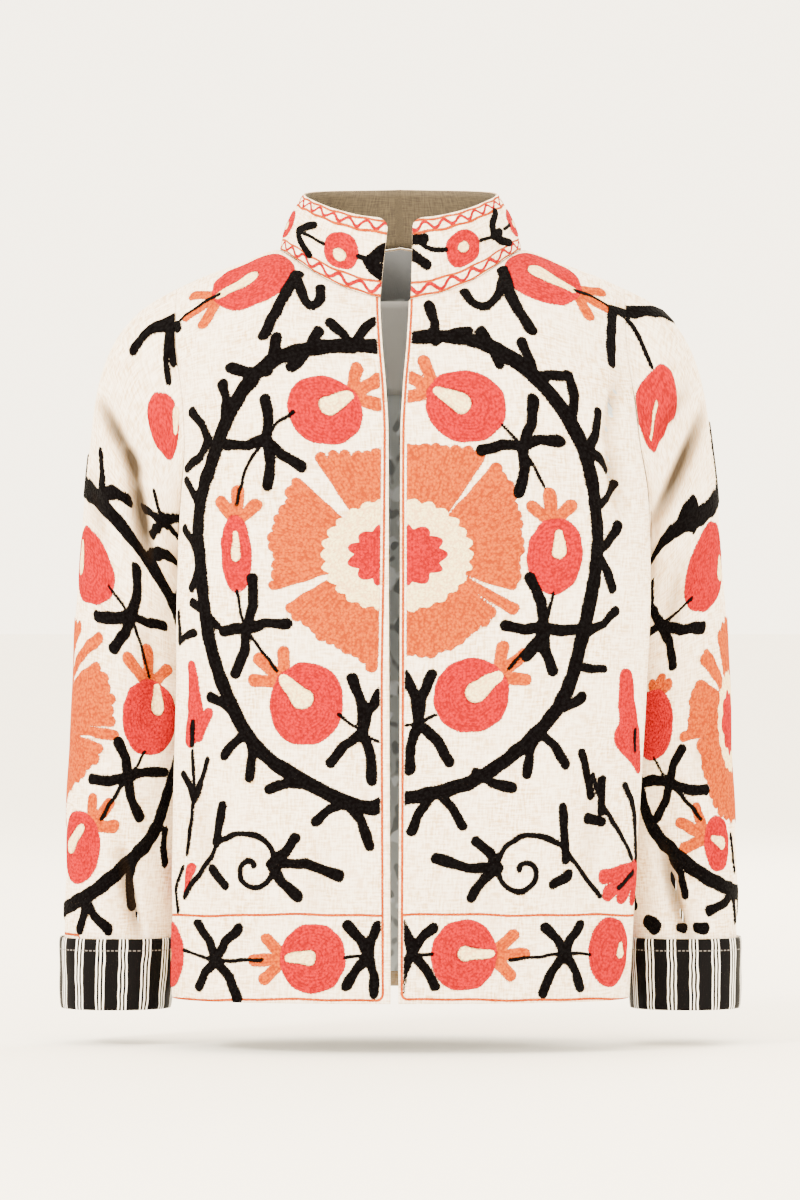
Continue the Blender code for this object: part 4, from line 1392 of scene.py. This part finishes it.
@dataclass(frozen=True)
class StripedSatin:
    """Black satin with close threes of white stripes and a topstitch, dull in even light."""

    name: str = "striped_satin"
    black: str = "#070607"
    white: str = "#F3F0EC"
    thread: str = "#6E6A68"
    period: float = 18.6
    pitch: float = 3.05
    stripe: float = 1.3
    offset: float = 8.5
    stitch_v: float = 50
    stitch_period: float = 3.6
    stitch_length: float = 2.3

    @staticmethod
    def band(n: Nodes, place: Socket, period: float, half: float, soft: float) -> Socket:
        """1 within half a width of the middle of each period."""
        here = n.math("SUBTRACT", n.math("MODULO", place, period), period / 2)
        return n.step(n.math("ABSOLUTE", here), half + soft, half - soft)

    def build(self) -> Material:
        """Makes the material: a repeat along u, three stripes in each repeat, a topstitch."""
        n = Nodes(self.name)
        u, v = n.axis(0), n.axis(1)
        wavy = n.math("MULTIPLY", n.math("SUBTRACT", n.noise(60, 60, 1), 0.5), 2.2)
        # Whole periods are added, so that the repeat also holds where u is negative.
        place = n.math("ADD", n.math("ADD", u, wavy), 50 * self.period + self.offset)
        group = self.band(n, place, self.period, 1.5 * self.pitch, 0.2)
        here = n.math("SUBTRACT", n.math("MODULO", place, self.period), self.period / 2)
        shifted = n.math("ADD", here, 10.5 * self.pitch)
        line = self.band(n, shifted, self.pitch, self.stripe / 2, 0.15)
        stripes = n.math("MULTIPLY", group, line)
        above = n.math("ABSOLUTE", n.math("SUBTRACT", v, self.stitch_v))
        part = n.math("MODULO", n.math("ADD", u, 250 * self.stitch_period), self.stitch_period)
        sewn = n.math("LESS_THAN", part, self.stitch_length)
        stitch = n.math("MULTIPLY", n.step(above, 0.6, 0.3), sewn)
        colour = n.mix(stripes, self.black, self.white)
        colour = n.mix(n.math("MULTIPLY", stitch, 0.8), colour, self.thread)
        n.bump(n.noise(300, 1600), 0.00015)
        return n.finish(colour, 0.5, Specular_IOR_Level=0.025)


@dataclass(frozen=True)
class Linen:
    """Plain tan linen in the collar: matt, with a fine grain each way."""

    name: str = "tan_linen"
    colour: str = "#564A35"
    dark: str = "#382E21"

    def build(self) -> Material:
        """Makes the material: threads each way as two long-grained noises."""
        n = Nodes(self.name)
        weave = n.weave(800, 90)
        n.bump(weave, 0.0004)
        colour = n.mix(n.step(weave, 0.62, 0.38), self.colour, self.dark)
        return n.finish(colour, 0.85, Sheen_Weight=0.1)


@dataclass(frozen=True)
class SatinLabel:
    """A woven grey satin label with a thin dark line near its top and bottom."""

    name: str = "label_satin"
    ground: str = "#B2B3B6"
    line: str = "#26272A"

    def build(self) -> Material:
        """Makes the material: the lines come from a number kept on the mesh."""
        n = Nodes(self.name)
        n.bump(n.noise(1500, 300), 0.0001)
        return n.finish(n.mix(n.read("border"), self.ground, self.line), 0.45)


@dataclass(frozen=True)
class Backdrop:
    """Matt pale paper under the jacket."""

    name: str = "pale_paper"
    colour: str = "#F6F3EC"

    def build(self) -> Material:
        """Makes the material."""
        return Nodes(self.name).finish(self.colour, 0.95, Specular_IOR_Level=0.1)


# ---- meshes


def grid_faces(number: Array) -> Array:
    """One quad for each cell of a numbered grid."""
    a, b, c, d = number[:-1, :-1], number[:-1, 1:], number[1:, 1:], number[1:, :-1]
    return np.stack([a.ravel(), b.ravel(), c.ravel(), d.ravel()], axis=1)


def from_rim(shape: tuple, lines: int) -> Array:
    """0 on a grid's rim and 1 from this many lines inside it, straight between."""
    row, col = (np.minimum(np.arange(n), np.arange(n)[::-1]) for n in shape)
    return np.clip(np.minimum(row[:, None], col[None, :]) / lines, 0, 1)


def edge_share(shape: tuple, tube: bool) -> Array:
    """1 on a grid's outermost lines, 0.35 on the next ones and 0 inside."""
    share = np.zeros(shape)
    for inset, value in ((1, 0.35), (0, 1.0)):
        share[[inset, -1 - inset]] = value
        if not tube:
            share[inset : shape[0] - inset, [inset, -1 - inset]] = value
    return share


class Shell:
    """A closed wall of cloth: a fine outer grid, a rim, and an inner side with few faces.

    The inner side keeps every point along the rim and only each stride-th line inside, so
    the two sides share their edges without a gap.
    """

    def __init__(self, outer: Array, inner: Array, stride: int, tube: bool, flip: bool) -> None:
        """Builds the faces.

        Args:
            outer: Grid of outer points in millimetres, rows by columns by 3.
            inner: The points behind them.
            stride: Grid lines for each line of the inner side. It divides both ways.
            tube: The last column joins the first.
            flip: Turn the faces over.
        """
        size = outer[..., 0].size
        number = np.arange(size).reshape(outer.shape[:2])
        if tube:
            number = np.concatenate([number, number[:, :1]], axis=1)
        rims = []
        for turn in (0, 2) if tube else range(4):
            line = np.rot90(number, turn)[0, ::-1]
            here, there = line[:-1], line[1:]
            rims.append(np.stack([here, there, there + size, here + size], axis=1))
        plain, fans = self.inside(number + size, stride, tube)
        outside = [grid_faces(number), *rims]
        self.outside = sum(len(part) for part in outside)
        quads = np.concatenate([*outside, plain])
        if flip:
            quads, fans = quads[:, ::-1], fans[:, ::-1]
        points = np.concatenate([outer.reshape(-1, 3), inner.reshape(-1, 3)])
        self.used = np.unique(np.concatenate([quads.ravel(), fans.ravel()]))
        renumber = np.zeros(len(points), int)
        renumber[self.used] = np.arange(len(self.used))
        self.points = points[self.used] * MM
        self.quads, self.fans = renumber[quads], renumber[fans]

    @staticmethod
    def inside(deep: Array, stride: int, tube: bool) -> tuple[Array, Array]:
        """The inner side: plain cells, and cells by a rim as fans of triangles.

        Args:
            deep: Numbers of the inner points.
            stride: Lines for each coarse line.
            tube: The columns have no rim.

        Returns:
            Quads and triangles, wound against the outer side.
        """
        coarse = deep[::stride, ::stride]
        margin = 0 if tube else 1
        kept = coarse[1:-1, margin : coarse.shape[1] - margin]
        fans = []
        for turn in (0, 2) if tube else range(4):
            edge, behind = np.rot90(deep, turn), np.rot90(coarse, turn)[1]
            at = np.arange(margin, len(behind) - 1 - margin)
            for cell in range(stride):
                start = at * stride + cell
                fans.append(np.stack([behind[at], edge[0, start + 1], edge[0, start]], axis=1))
            fans.append(np.stack([behind[at], behind[at + 1], edge[0, (at + 1) * stride]], axis=1))
            if not tube:
                corner = np.concatenate([edge[stride::-1, 0], edge[0, 1 : stride + 1]])
                apex = np.full(len(corner) - 1, behind[1])
                fans.append(np.stack([apex, corner[1:], corner[:-1]], axis=1))
        return grid_faces(kept)[:, ::-1], np.concatenate(fans)

    def keep(self, piece: Piece, name: str, grid: Array, through: bool = False) -> None:
        """Keeps a number or a vector of the outer grid on the vertices, also behind if through."""
        values = grid.reshape(-1, *grid.shape[2:])
        both = np.concatenate([values, values if through else np.full_like(values, FAR)])
        kind, field = ("FLOAT_VECTOR", "vector") if grid.ndim > 2 else ("FLOAT", "value")
        layer = piece.data.attributes.new(name, kind, "POINT")
        layer.data.foreach_set(field, both[self.used].astype(np.float32).ravel())

    def build(self, name: str, finishes: tuple, numbers: dict[str, Array], flat: tuple) -> Piece:
        """Makes the object.

        Args:
            name: The piece's name.
            finishes: The outer finish, then the inner one.
            numbers: Numbers to keep on the vertices, given on the outer grid.
            flat: Flat coordinates on the outer grid, in millimetres.

        Returns:
            The piece, shaded smooth.
        """
        mesh = bpy.data.meshes.new(name)
        loops = np.concatenate([self.quads.ravel(), self.fans.ravel()]).astype(np.int32)
        sizes = np.repeat([4, 3], [len(self.quads), len(self.fans)])
        starts = (np.cumsum(sizes) - sizes).astype(np.int32)
        slots = np.where(np.arange(len(sizes)) < self.outside, 0, len(finishes) - 1)
        mesh.vertices.add(len(self.points))
        mesh.loops.add(len(loops))
        mesh.polygons.add(len(sizes))
        mesh.vertices.foreach_set("co", self.points.astype(np.float32).ravel())
        mesh.loops.foreach_set("vertex_index", loops)
        mesh.polygons.foreach_set("loop_start", starts)
        mesh.polygons.foreach_set("material_index", slots.astype(np.int32))
        mesh.update(calc_edges=True)
        mesh.validate()
        for finish in finishes:
            mesh.materials.append(finish)
        piece = bpy.data.objects.new(name, mesh)
        for key, grid in numbers.items():
            self.keep(piece, key, grid)
        u, v = (np.asarray(part) * MM for part in flat)
        self.keep(piece, "flat", np.stack([u, v, np.zeros_like(u)], axis=-1), through=True)
        mesh.shade_smooth()
        bpy.context.scene.collection.objects.link(piece)
        return piece


# ---- pieces


@dataclass(frozen=True)
class Sewn:
    """What the embroidered pieces share: their wall, with soft edges and wool on it."""

    thickness: float = 1.5
    round_edge: float = 0.45
    inner_round: float = 1.6
    relief: float = 1.0
    lift: float = 0.1
    stride: int = 5

    def sew(
        self,
        name: str,
        canvas: Canvas,
        flat: tuple,
        base: Array,
        shift: Array,
        normal: Array,
        finishes: tuple,
        tube: bool = False,
        flip: bool = False,
    ) -> Piece:
        """Makes a piece: the base moved along its normals, with wool outside and a wall.

        Args:
            name: The piece's name.
            canvas: Its needlework.
            flat: Its flat coordinates.
            base: Points of its surface.
            shift: How far out each point is moved.
            normal: The outward directions.
            finishes: The outer finish, then the inner one.
            tube: It is closed round.
            flip: Its grid runs the other way round.

        Returns:
            The piece.
        """
        soft = self.round_edge * edge_share(base.shape[:2], tube)
        cloth = base + along(normal, shift + self.lift - soft)
        outer = cloth + along(normal, self.relief * canvas.relief())
        inner = cloth - along(normal, self.thickness - self.inner_round * soft)
        shell = Shell(outer, inner, self.stride, tube, flip)
        return shell.build(name, finishes, canvas.numbers(), flat)


@dataclass(frozen=True)
class BodyPanels(Sewn):
    """The two fronts and the back."""

    hem_line_v: float = 6.0
    row_line_v: float = 76.5
    corner: float = 5.5
    rosette_gap: float = 2.7
    figure_gap: float = 1.8
    fade_lines: int = 14
    waves: float = 1.4
    back_stretch: float = 0.93
    back_offset: float = 8

    GRIDS = {Face.FRONT: Cut(12, 20), Face.BACK: Cut(10, 14)}
    LINES = {
        -1: rows(Point, (-640, 6.4), (-372, 6.2), (-249, 4.2), (-110, 2.8), (30, 2.3)),
        1: rows(Point, (-640, 2.8), (-372, 2.6), (30, 2.3)),
    }
    CREASES = {
        Face.FRONT: rows(
            Crease,
            (196, -60, 174, -158, 8.0, 9, 6),
            (176, -138, 189, -224, 7.0, 7, 8),
            (-190, -84, -170, -180, 3.6, 9),
            (-178, -420, -150, -560, 3.8, 12, 9),
            (170, -410, 150, -545, 3.8, 10, 13),
            (-58, -460, -84, -605, 2.6, 12),
            (62, -480, 88, -600, 2.2, 12),
        ),
        Face.BACK: rows(
            Crease,
            (-196, -80, -168, -190, 5.0, 12),
            (198, -90, 172, -205, 5.0, 12),
            (-120, -330, -150, -540, 4.0, 16, 14),
            (96, -360, 132, -570, 4.4, 15, 16),
            (-20, -110, -34, -240, 2.6, 14),
            (20, -420, 8, -600, 3.0, 16, 14),
        ),
    }

    def panel(
        self,
        name: str,
        pq: Array,
        face: Face,
        canvas: Canvas,
        flat: tuple,
        finishes: tuple,
        flip: bool,
    ) -> Piece:
        """Makes a panel: the torso's surface less its folds and creases, plus ripples."""
        p, q = pq[..., 0], pq[..., 1]
        base = TORSO.point(p, q, face)
        fade = np.clip(16 * q * (1 - q), 0, 1) * from_rim(p.shape, self.fade_lines)
        # The creases' depth is also kept as hollow, from which the finish paints shade.
        canvas.hollow = press_depth(base, self.CREASES[face]) * fade
        shift = ripple(*flat, self.waves) * fade - press_depth(base, TORSO.FOLDS[face])
        shift, normal = shift - canvas.hollow, TORSO.normal(p, q, face)
        return self.sew(name, canvas, flat, base, shift, normal, finishes, flip=flip)

    def sewn_flat(self, flat: tuple) -> tuple:
        """Where the needlework is laid: lower along the hem, by a cube towards the sides."""
        drop = (2.5 + 3.5 * np.abs(flat[0] / 210) ** 3) * np.clip((130 - flat[1]) / 50, 0, 1)
        return flat[0], flat[1] + drop

    def front(self, side: int, outside: Material, inside: Material) -> Piece:
        """Builds one front with its half of the needlework."""
        pq = self.GRIDS[Face.FRONT].front(side)
        flat = TORSO.flat(pq[..., 0], pq[..., 1], Face.FRONT)
        sewn = self.sewn_flat(flat)
        canvas = Canvas(*sewn)
        x, _, z = np.moveaxis(TORSO.point(pq[..., 0], pq[..., 1], Face.FRONT), -1, 0)
        from_edge = np.abs(x - TORSO.OPENING_X - side * table(TORSO.OPENING, z))
        line = table(self.LINES[side], z)
        canvas.work((BODY_ROSETTE,))
        canvas.clip(line + self.rosette_gap - from_edge)
        canvas.work(BODY_MEDALLION + BODY_SIDES + BODY_SHOULDERS + HEM_ROW)
        canvas.clip(line + self.figure_gap - from_edge)
        self.hem_lines(canvas, sewn, from_edge - line)
        name, finishes = f"front_{SIDES[side]}_cloth", (outside, inside)
        return self.panel(name, pq, Face.FRONT, canvas, flat, finishes, side < 0)

    def back(self, cloth: Material) -> Piece:
        """Builds the back, with the fronts' figures closed up and mirrored."""
        pq = self.GRIDS[Face.BACK].back()
        flat = TORSO.flat(pq[..., 0], pq[..., 1], Face.BACK)
        u, v = self.sewn_flat(flat)
        sewn = (-u * self.back_stretch - self.back_offset, v)
        canvas = Canvas(*sewn)
        canvas.work((BODY_ROSETTE, *BODY_MEDALLION, *BODY_SIDES, *HEM_ROW, *BACK_SHOULDERS))
        self.hem_lines(canvas, sewn, np.full_like(u, FAR))
        return self.panel("back_cloth", pq, Face.BACK, canvas, flat, (cloth, cloth), True)

    def hem_lines(self, canvas: Canvas, sewn: tuple, inset: Array) -> None:
        """Draws the orange edge line round its corner and along the hem, and a line above.

        Args:
            canvas: Where to stitch.
            sewn: Flat coordinates that follow the hem.
            inset: Distance inside the line along the opening.
        """
        wander = 0.5 * np.sin(sewn[0] / 21) + 0.3 * np.sin(sewn[0] / 8.3)
        above = sewn[1] - self.hem_line_v - wander
        r = self.corner
        bent = r - np.hypot(np.maximum(r - inset, 0), np.maximum(r - above, 0))
        in_corner = (inset < r) & (above < r)
        canvas.lines["edging"] = np.where(in_corner, bent, np.minimum(inset, above))
        canvas.lines["ruling"] = sewn[1] - self.row_line_v - wander


@dataclass(frozen=True)
class Sleeves(Sewn):
    """The two sleeves with their medallions."""

    lines: int = 345
    columns: int = 200
    cuff_line_v: float = 60.5
    top_v: float = 526
    lining_top: float = -330
    waves: float = 1.7
    calm_rings: float = 0.8

    FIGURES = {-1: (SLEEVE_LEFT, LEFT_DROP), 1: (SLEEVE_RIGHT, RIGHT_DROP)}
    CREASES = {
        -1: rows(
            Crease,
            (-258, -110, -216, -186, 13.0, 8.5, 5.4),
            (-228, -156, -209, -268, 15.0, 9.0, 5.4),
            (-264, -170, -248, -252, 6.0, 11, 6),
            (-238, -486, -219, -586, 11.0, 9, 4.5),
            (-264, -330, -250, -420, 5.0, 13, 8),
            (-216, -300, -206, -400, 6.0, 9, 7),
        ),
        1: rows(
            Crease,
            (262, -114, 206, -238, 14.5, 5.4, 9.0),
            (250, -96, 204, -166, 7.0, 11, 7),
            (240, -240, 224, -336, 6.0, 11, 8),
            (220, -476, 246, -586, 11.0, 9, 4.5),
            (264, -360, 254, -446, 5.0, 12, 8),
        ),
    }

    def build(self, side: int, outside: Material, inside: Material) -> Piece:
        """Builds one sleeve with its own figures. Its creases are pressed straight back."""
        row = np.linspace(0, SLEEVE.LAST, self.lines + 1)[:, None]
        angle = np.linspace(0, 360, self.columns, endpoint=False)[None, :]
        row, angle = np.broadcast_arrays(row, angle)
        flat = SLEEVE.flat(row, angle)
        canvas = Canvas(*flat)
        medallion, drop = self.FIGURES[side]
        canvas.work(medallion)
        canvas.clip(flat[1] - self.top_v)
        canvas.work(drop)
        if side < 0:
            sink = np.maximum(np.abs(flat[0] + 60) - 105, 0)
            canvas.lines["ruling"] = flat[1] - self.cuff_line_v + sink
        normal = SLEEVE.normal(row, angle, side)
        base = SLEEVE.point(row, angle, side)
        calm = np.clip(row / self.calm_rings, 0, 1)
        ahead = np.clip(0.5 - 2 * normal[..., 1], 0, 1)
        # The creases' depth is also kept as hollow, from which the finish paints shade.
        canvas.hollow = press_depth(base, self.CREASES[side]) * ahead * calm
        base[..., 1] += canvas.hollow
        shift = ripple(flat[0] + 40 * side, flat[1], self.waves) * calm
        name, finishes = f"sleeve_{SIDES[side]}_cloth", (outside, inside)
        piece = self.sew(name, canvas, flat, base, shift, normal, finishes, True, side < 0)
        self.trim_lining(piece)
        return piece

    def trim_lining(self, piece: Piece) -> None:
        """Keeps the inner finish only below lining_top and gives the rest the outer one."""
        polygons = piece.data.polygons
        centre = np.empty(len(polygons) * 3, np.float32)
        slot = np.empty(len(polygons), np.int32)
        polygons.foreach_get("center", centre)
        polygons.foreach_get("material_index", slot)
        slot[centre[2::3] > self.lining_top * MM] = 0
        polygons.foreach_set("material_index", slot)


@dataclass(frozen=True)
class CollarBand(Sewn):
    """The stand collar with its two worked borders."""

    thickness: float = 2.2
    round_edge: float = 0.5
    relief: float = 0.8
    columns: int = 421
    lines: int = 46
    girth: float = 1.52
    tall: float = 62
    wave: float = 17
    swing_gap: float = 2.0
    bands: tuple = ((1.9, 11.6), (50.4, 60.0))

    def border(self, canvas: Canvas, low: float, high: float) -> None:
        """Draws two orange lines with a coral sine wave between them."""
        middle, half = (low + high) / 2, (high - low) / 2
        swing, phase = half - self.swing_gap, 2 * np.pi * canvas.u / self.wave
        slope = swing * 2 * np.pi / self.wave * np.cos(phase)
        off = (canvas.v - middle - swing * np.sin(phase)) / np.hypot(1, slope)
        upper = middle > self.tall / 2
        near = (canvas.v > self.tall / 2) == upper
        rule = np.abs(canvas.v - middle) - half
        canvas.lines["ruling"] = np.minimum(canvas.lines["ruling"], rule)
        canvas.lines["wave"] = np.where(near, -off if upper else off, canvas.lines["wave"])

    def build(self, outside: Material, inside: Material) -> Piece:
        """Builds the collar."""
        angle, height = COLLAR.grid(self.columns, self.lines)
        u, v = signed_turn(angle) * self.girth, height * self.tall
        canvas = Canvas(u, v)
        canvas.work(COLLAR_FIGURES)
        for low, high in self.bands:
            self.border(canvas, low, high)
        seam = -0.3 * np.exp(-((height * COLLAR.tall(angle)) ** 2) / 4)
        base, normal = COLLAR.point(angle, height), COLLAR.normal(angle, height)
        shift, finishes = ripple(u, v, 0.25) + seam, (outside, inside)
        return self.sew("collar_cloth", canvas, (u, v), base, shift, normal, finishes)


@dataclass(frozen=True)
class Cuffs:
    """The turned-up striped cuffs."""

    lines: int = 30
    columns: int = 160
    bottom_z: float = -634.5
    height: float = 60
    girth: float = 290
    gap: float = 0.9
    flare: float = 1.0
    thickness: float = 2.1
    soft_edge: float = 0.6
    stride: int = 5

    PHASES = {-1: -4.2, 1: 8.4}

    def build(self, side: int, satin: Material) -> Piece:
        """Builds one cuff: the wrist's ring, lifted off the sleeve and drawn up it."""
        before, last = SLEEVE.RINGS[-2:]
        top_z = self.bottom_z + self.height
        top_row = SLEEVE.LAST - (top_z - last.outer_z) / (before.outer_z - last.outer_z)
        angle = np.linspace(0, 360, self.columns, endpoint=False)
        share = np.linspace(0, 1, self.lines + 1)[:, None]
        base, top = (SLEEVE.point(row, angle, side) for row in (SLEEVE.LAST, top_row))
        outward = SLEEVE.normal(np.full_like(angle, SLEEVE.LAST), angle, side)
        u, v = np.broadcast_arrays(signed_turn(angle) * self.girth / 360, share * self.height)
        swell = 0.6 * np.sin(np.pi * share) * (1 + 0.8 * np.sin(u / 13 + v / 9))
        lift = self.gap + self.flare * share + np.maximum(swell + ripple(u, v, 0.35), -0.3)
        inner = base + along(top - base, share) + along(outward, lift)
        inner[..., 2] = self.bottom_z + self.height * share
        wall = self.thickness - self.soft_edge * edge_share(u.shape, tube=True)
        shell = Shell(inner + along(outward, wall), inner, self.stride, tube=True, flip=side > 0)
        return shell.build(f"cuff_{SIDES[side]}_cloth", (satin,), {}, (u + self.PHASES[side], v))


@dataclass(frozen=True)
class BackLining:
    """The back's lining and the bare label on it."""

    depth: float = 3.2
    thickness: float = 0.8
    stride: int = 3
    label_depth: float = 4.6
    label_thickness: float = 0.7
    label_stride: int = 5
    label_half_width: float = 41
    label_middle_x: float = 2
    label_z: tuple = (-109, -28)
    label_steps: tuple = (60, 30)
    line_inset: float = 4.6

    GRID = Cut(4, 4)

    def lining(self, cloth: Material) -> Piece:
        """Builds the lining, behind the back and up to the collar's seam."""
        pq = self.GRID.back()[2:, 2:-2]
        lines, columns = ((n - 1) // self.stride * self.stride + 1 for n in pq.shape[:2])
        first = (pq.shape[1] - columns) // 2
        pq = pq[-lines:, first : first + columns]
        p, q = pq[..., 0], pq[..., 1]
        normal, base = TORSO.normal(p, q, Face.BACK), TORSO.point(p, q, Face.BACK)
        creases = TORSO.FOLDS[Face.BACK] + BodyPanels.CREASES[Face.BACK]
        outer = base - along(normal, press_depth(base, creases) + self.depth)
        shell = Shell(outer, outer - self.thickness * normal, self.stride, tube=False, flip=True)
        return shell.build("lining_cloth", (cloth,), {}, TORSO.flat(p, q, Face.BACK))

    def label(self, satin: Material) -> Piece:
        """Builds the label with its two thin lines and nothing between them."""
        low, high = self.label_z
        z = np.linspace(low, high, self.label_steps[0] + 1)[:, None]
        x = np.linspace(-self.label_half_width, self.label_half_width, self.label_steps[1] + 1)
        x, z = np.broadcast_arrays(self.label_middle_x + x[None, :], z)
        p = np.zeros_like(x)
        for _ in range(REFINEMENTS):
            q = TORSO.q_at(p, z, Face.BACK)
            p = TORSO.p_at(x, q, Face.BACK)
        normal, base = TORSO.normal(p, q, Face.BACK), TORSO.point(p, q, Face.BACK)
        press = press_depth(base, TORSO.FOLDS[Face.BACK]) + self.label_depth
        outer = base - along(normal, press)
        inner = outer - self.label_thickness * normal
        from_end = np.minimum(high - z, z - low)
        border = np.clip(1.2 - np.abs(from_end - self.line_inset) / 0.75, 0, 1)
        shell = Shell(outer, inner, self.label_stride, tube=False, flip=True)
        piece = shell.build("label_cloth", (satin,), {}, (x, z))
        shell.keep(piece, "border", border, through=True)
        return piece


# ---- the room


@dataclass(frozen=True)
class Studio:
    """A pale floor in an evenly bright room, soft lights and the camera."""

    floor_z: float = -0.665
    floor_reach: float = 60.0
    camera: tuple = (-0.0004, -5.0, -0.2873)
    view_height: float = 1.02
    sensor: float = 36.0
    aim: tuple = (0, 0, -0.3)
    warm: tuple = (1.0, 0.91, 0.76)
    room: tuple = (1.0, 0.885, 0.70)
    room_strength: float = 5.8

    # Each soft light's name, place, size in metres and power in watts.
    LIGHTS = (
        ("key_light", (-2.8, -2.2, 2.1), 0.9, 330),
        ("fill_light", (2.2, -3.2, 0.3), 2.0, 130),
        ("back_light", (1.6, 3.2, 1.6), 1.5, 200),
    )

    def floor(self, paper: Material) -> None:
        """Lays a plain square floor that runs far out on every side."""
        r, z = self.floor_reach, self.floor_z
        mesh = bpy.data.meshes.new("backdrop")
        mesh.from_pydata([(-r, -r, z), (r, -r, z), (r, r, z), (-r, r, z)], [], [(0, 1, 2, 3)])
        mesh.materials.append(paper)
        backdrop = bpy.data.objects.new("backdrop", mesh)
        bpy.context.scene.collection.objects.link(backdrop)

    def light(self, name: str, place: tuple, size: float, watts: float) -> None:
        """Adds a square soft light that shines from a place towards the jacket."""
        data = bpy.data.lights.new(name, "AREA")
        data.size, data.energy, data.color = size, watts, self.warm
        lamp = bpy.data.objects.new(name, data)
        lamp.location, lamp.visible_camera = place, False
        way = Vector(self.aim) - Vector(place)
        lamp.rotation_euler = way.to_track_quat("-Z", "Y").to_euler()
        bpy.context.scene.collection.objects.link(lamp)

    def shoot(self) -> None:
        """Sets the lights, the even light all round and the camera."""
        for light in self.LIGHTS:
            self.light(*light)
        world = bpy.data.worlds.new("even_light")
        world.use_nodes = True
        back = world.node_tree.nodes["Background"]
        back.inputs["Color"].default_value = (*self.room, 1.0)
        back.inputs["Strength"].default_value = self.room_strength
        data = bpy.data.cameras.new("photo_camera")
        data.sensor_width = self.sensor
        data.lens = self.sensor * -self.camera[1] / self.view_height
        camera = bpy.data.objects.new("photo_camera", data)
        camera.location, camera.rotation_euler = self.camera, (np.pi / 2, 0, 0)
        scene = bpy.context.scene
        scene.collection.objects.link(camera)
        scene.world, scene.camera = world, camera


def declare(
    piece: Piece, node: str, on: str
) -> None:
    """Attaches a piece to the root body, hides its CAD node and logs its faces.

    Args:
        piece: The piece.
        node: The CAD node that it stands for.
        on: Name of what it lies on or hangs from; not used.
    """
    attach(piece, "root")
    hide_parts(node)
    LOG.info("%s: %d faces", piece.name, len(piece.data.polygons))


def main() -> None:
    """Builds and dresses every piece, then the room."""
    logging.basicConfig(level=logging.INFO, format="%(message)s")
    cloths = (EmbroideredCotton, PrintedLining, StripedSatin)
    cotton, lining, satin = (cloth().build() for cloth in cloths)
    body, sleeves, cuffs, back = BodyPanels(), Sleeves(), Cuffs(), BackLining()
    for side, area in ((-1, 0.136), (1, 0.150)):
        piece, node = body.front(side, cotton, lining), f"front_{SIDES[side]}"
        declare(piece, node, "collar_cloth")
    declare(body.back(cotton), "back", "collar_cloth")
    for side, area in ((-1, 0.170), (1, 0.158)):
        piece, node = sleeves.build(side, cotton, satin), f"sleeve_{SIDES[side]}"
        declare(piece, node, "back_cloth")
    piece = CollarBand().build(cotton, Linen().build())
    declare(piece, "collar", "back_cloth")
    for side, word in SIDES.items():
        piece, under = cuffs.build(side, satin), f"sleeve_{word}_cloth"
        declare(piece, f"cuff_{word}", under)
    piece = back.lining(lining)
    declare(piece, "lining_back", "back_cloth")
    piece = back.label(SatinLabel().build())
    declare(piece, "neck_label", "lining_cloth")
    studio = Studio()
    studio.floor(Backdrop().build())
    studio.shoot()


if __name__ == "__main__":
    main()
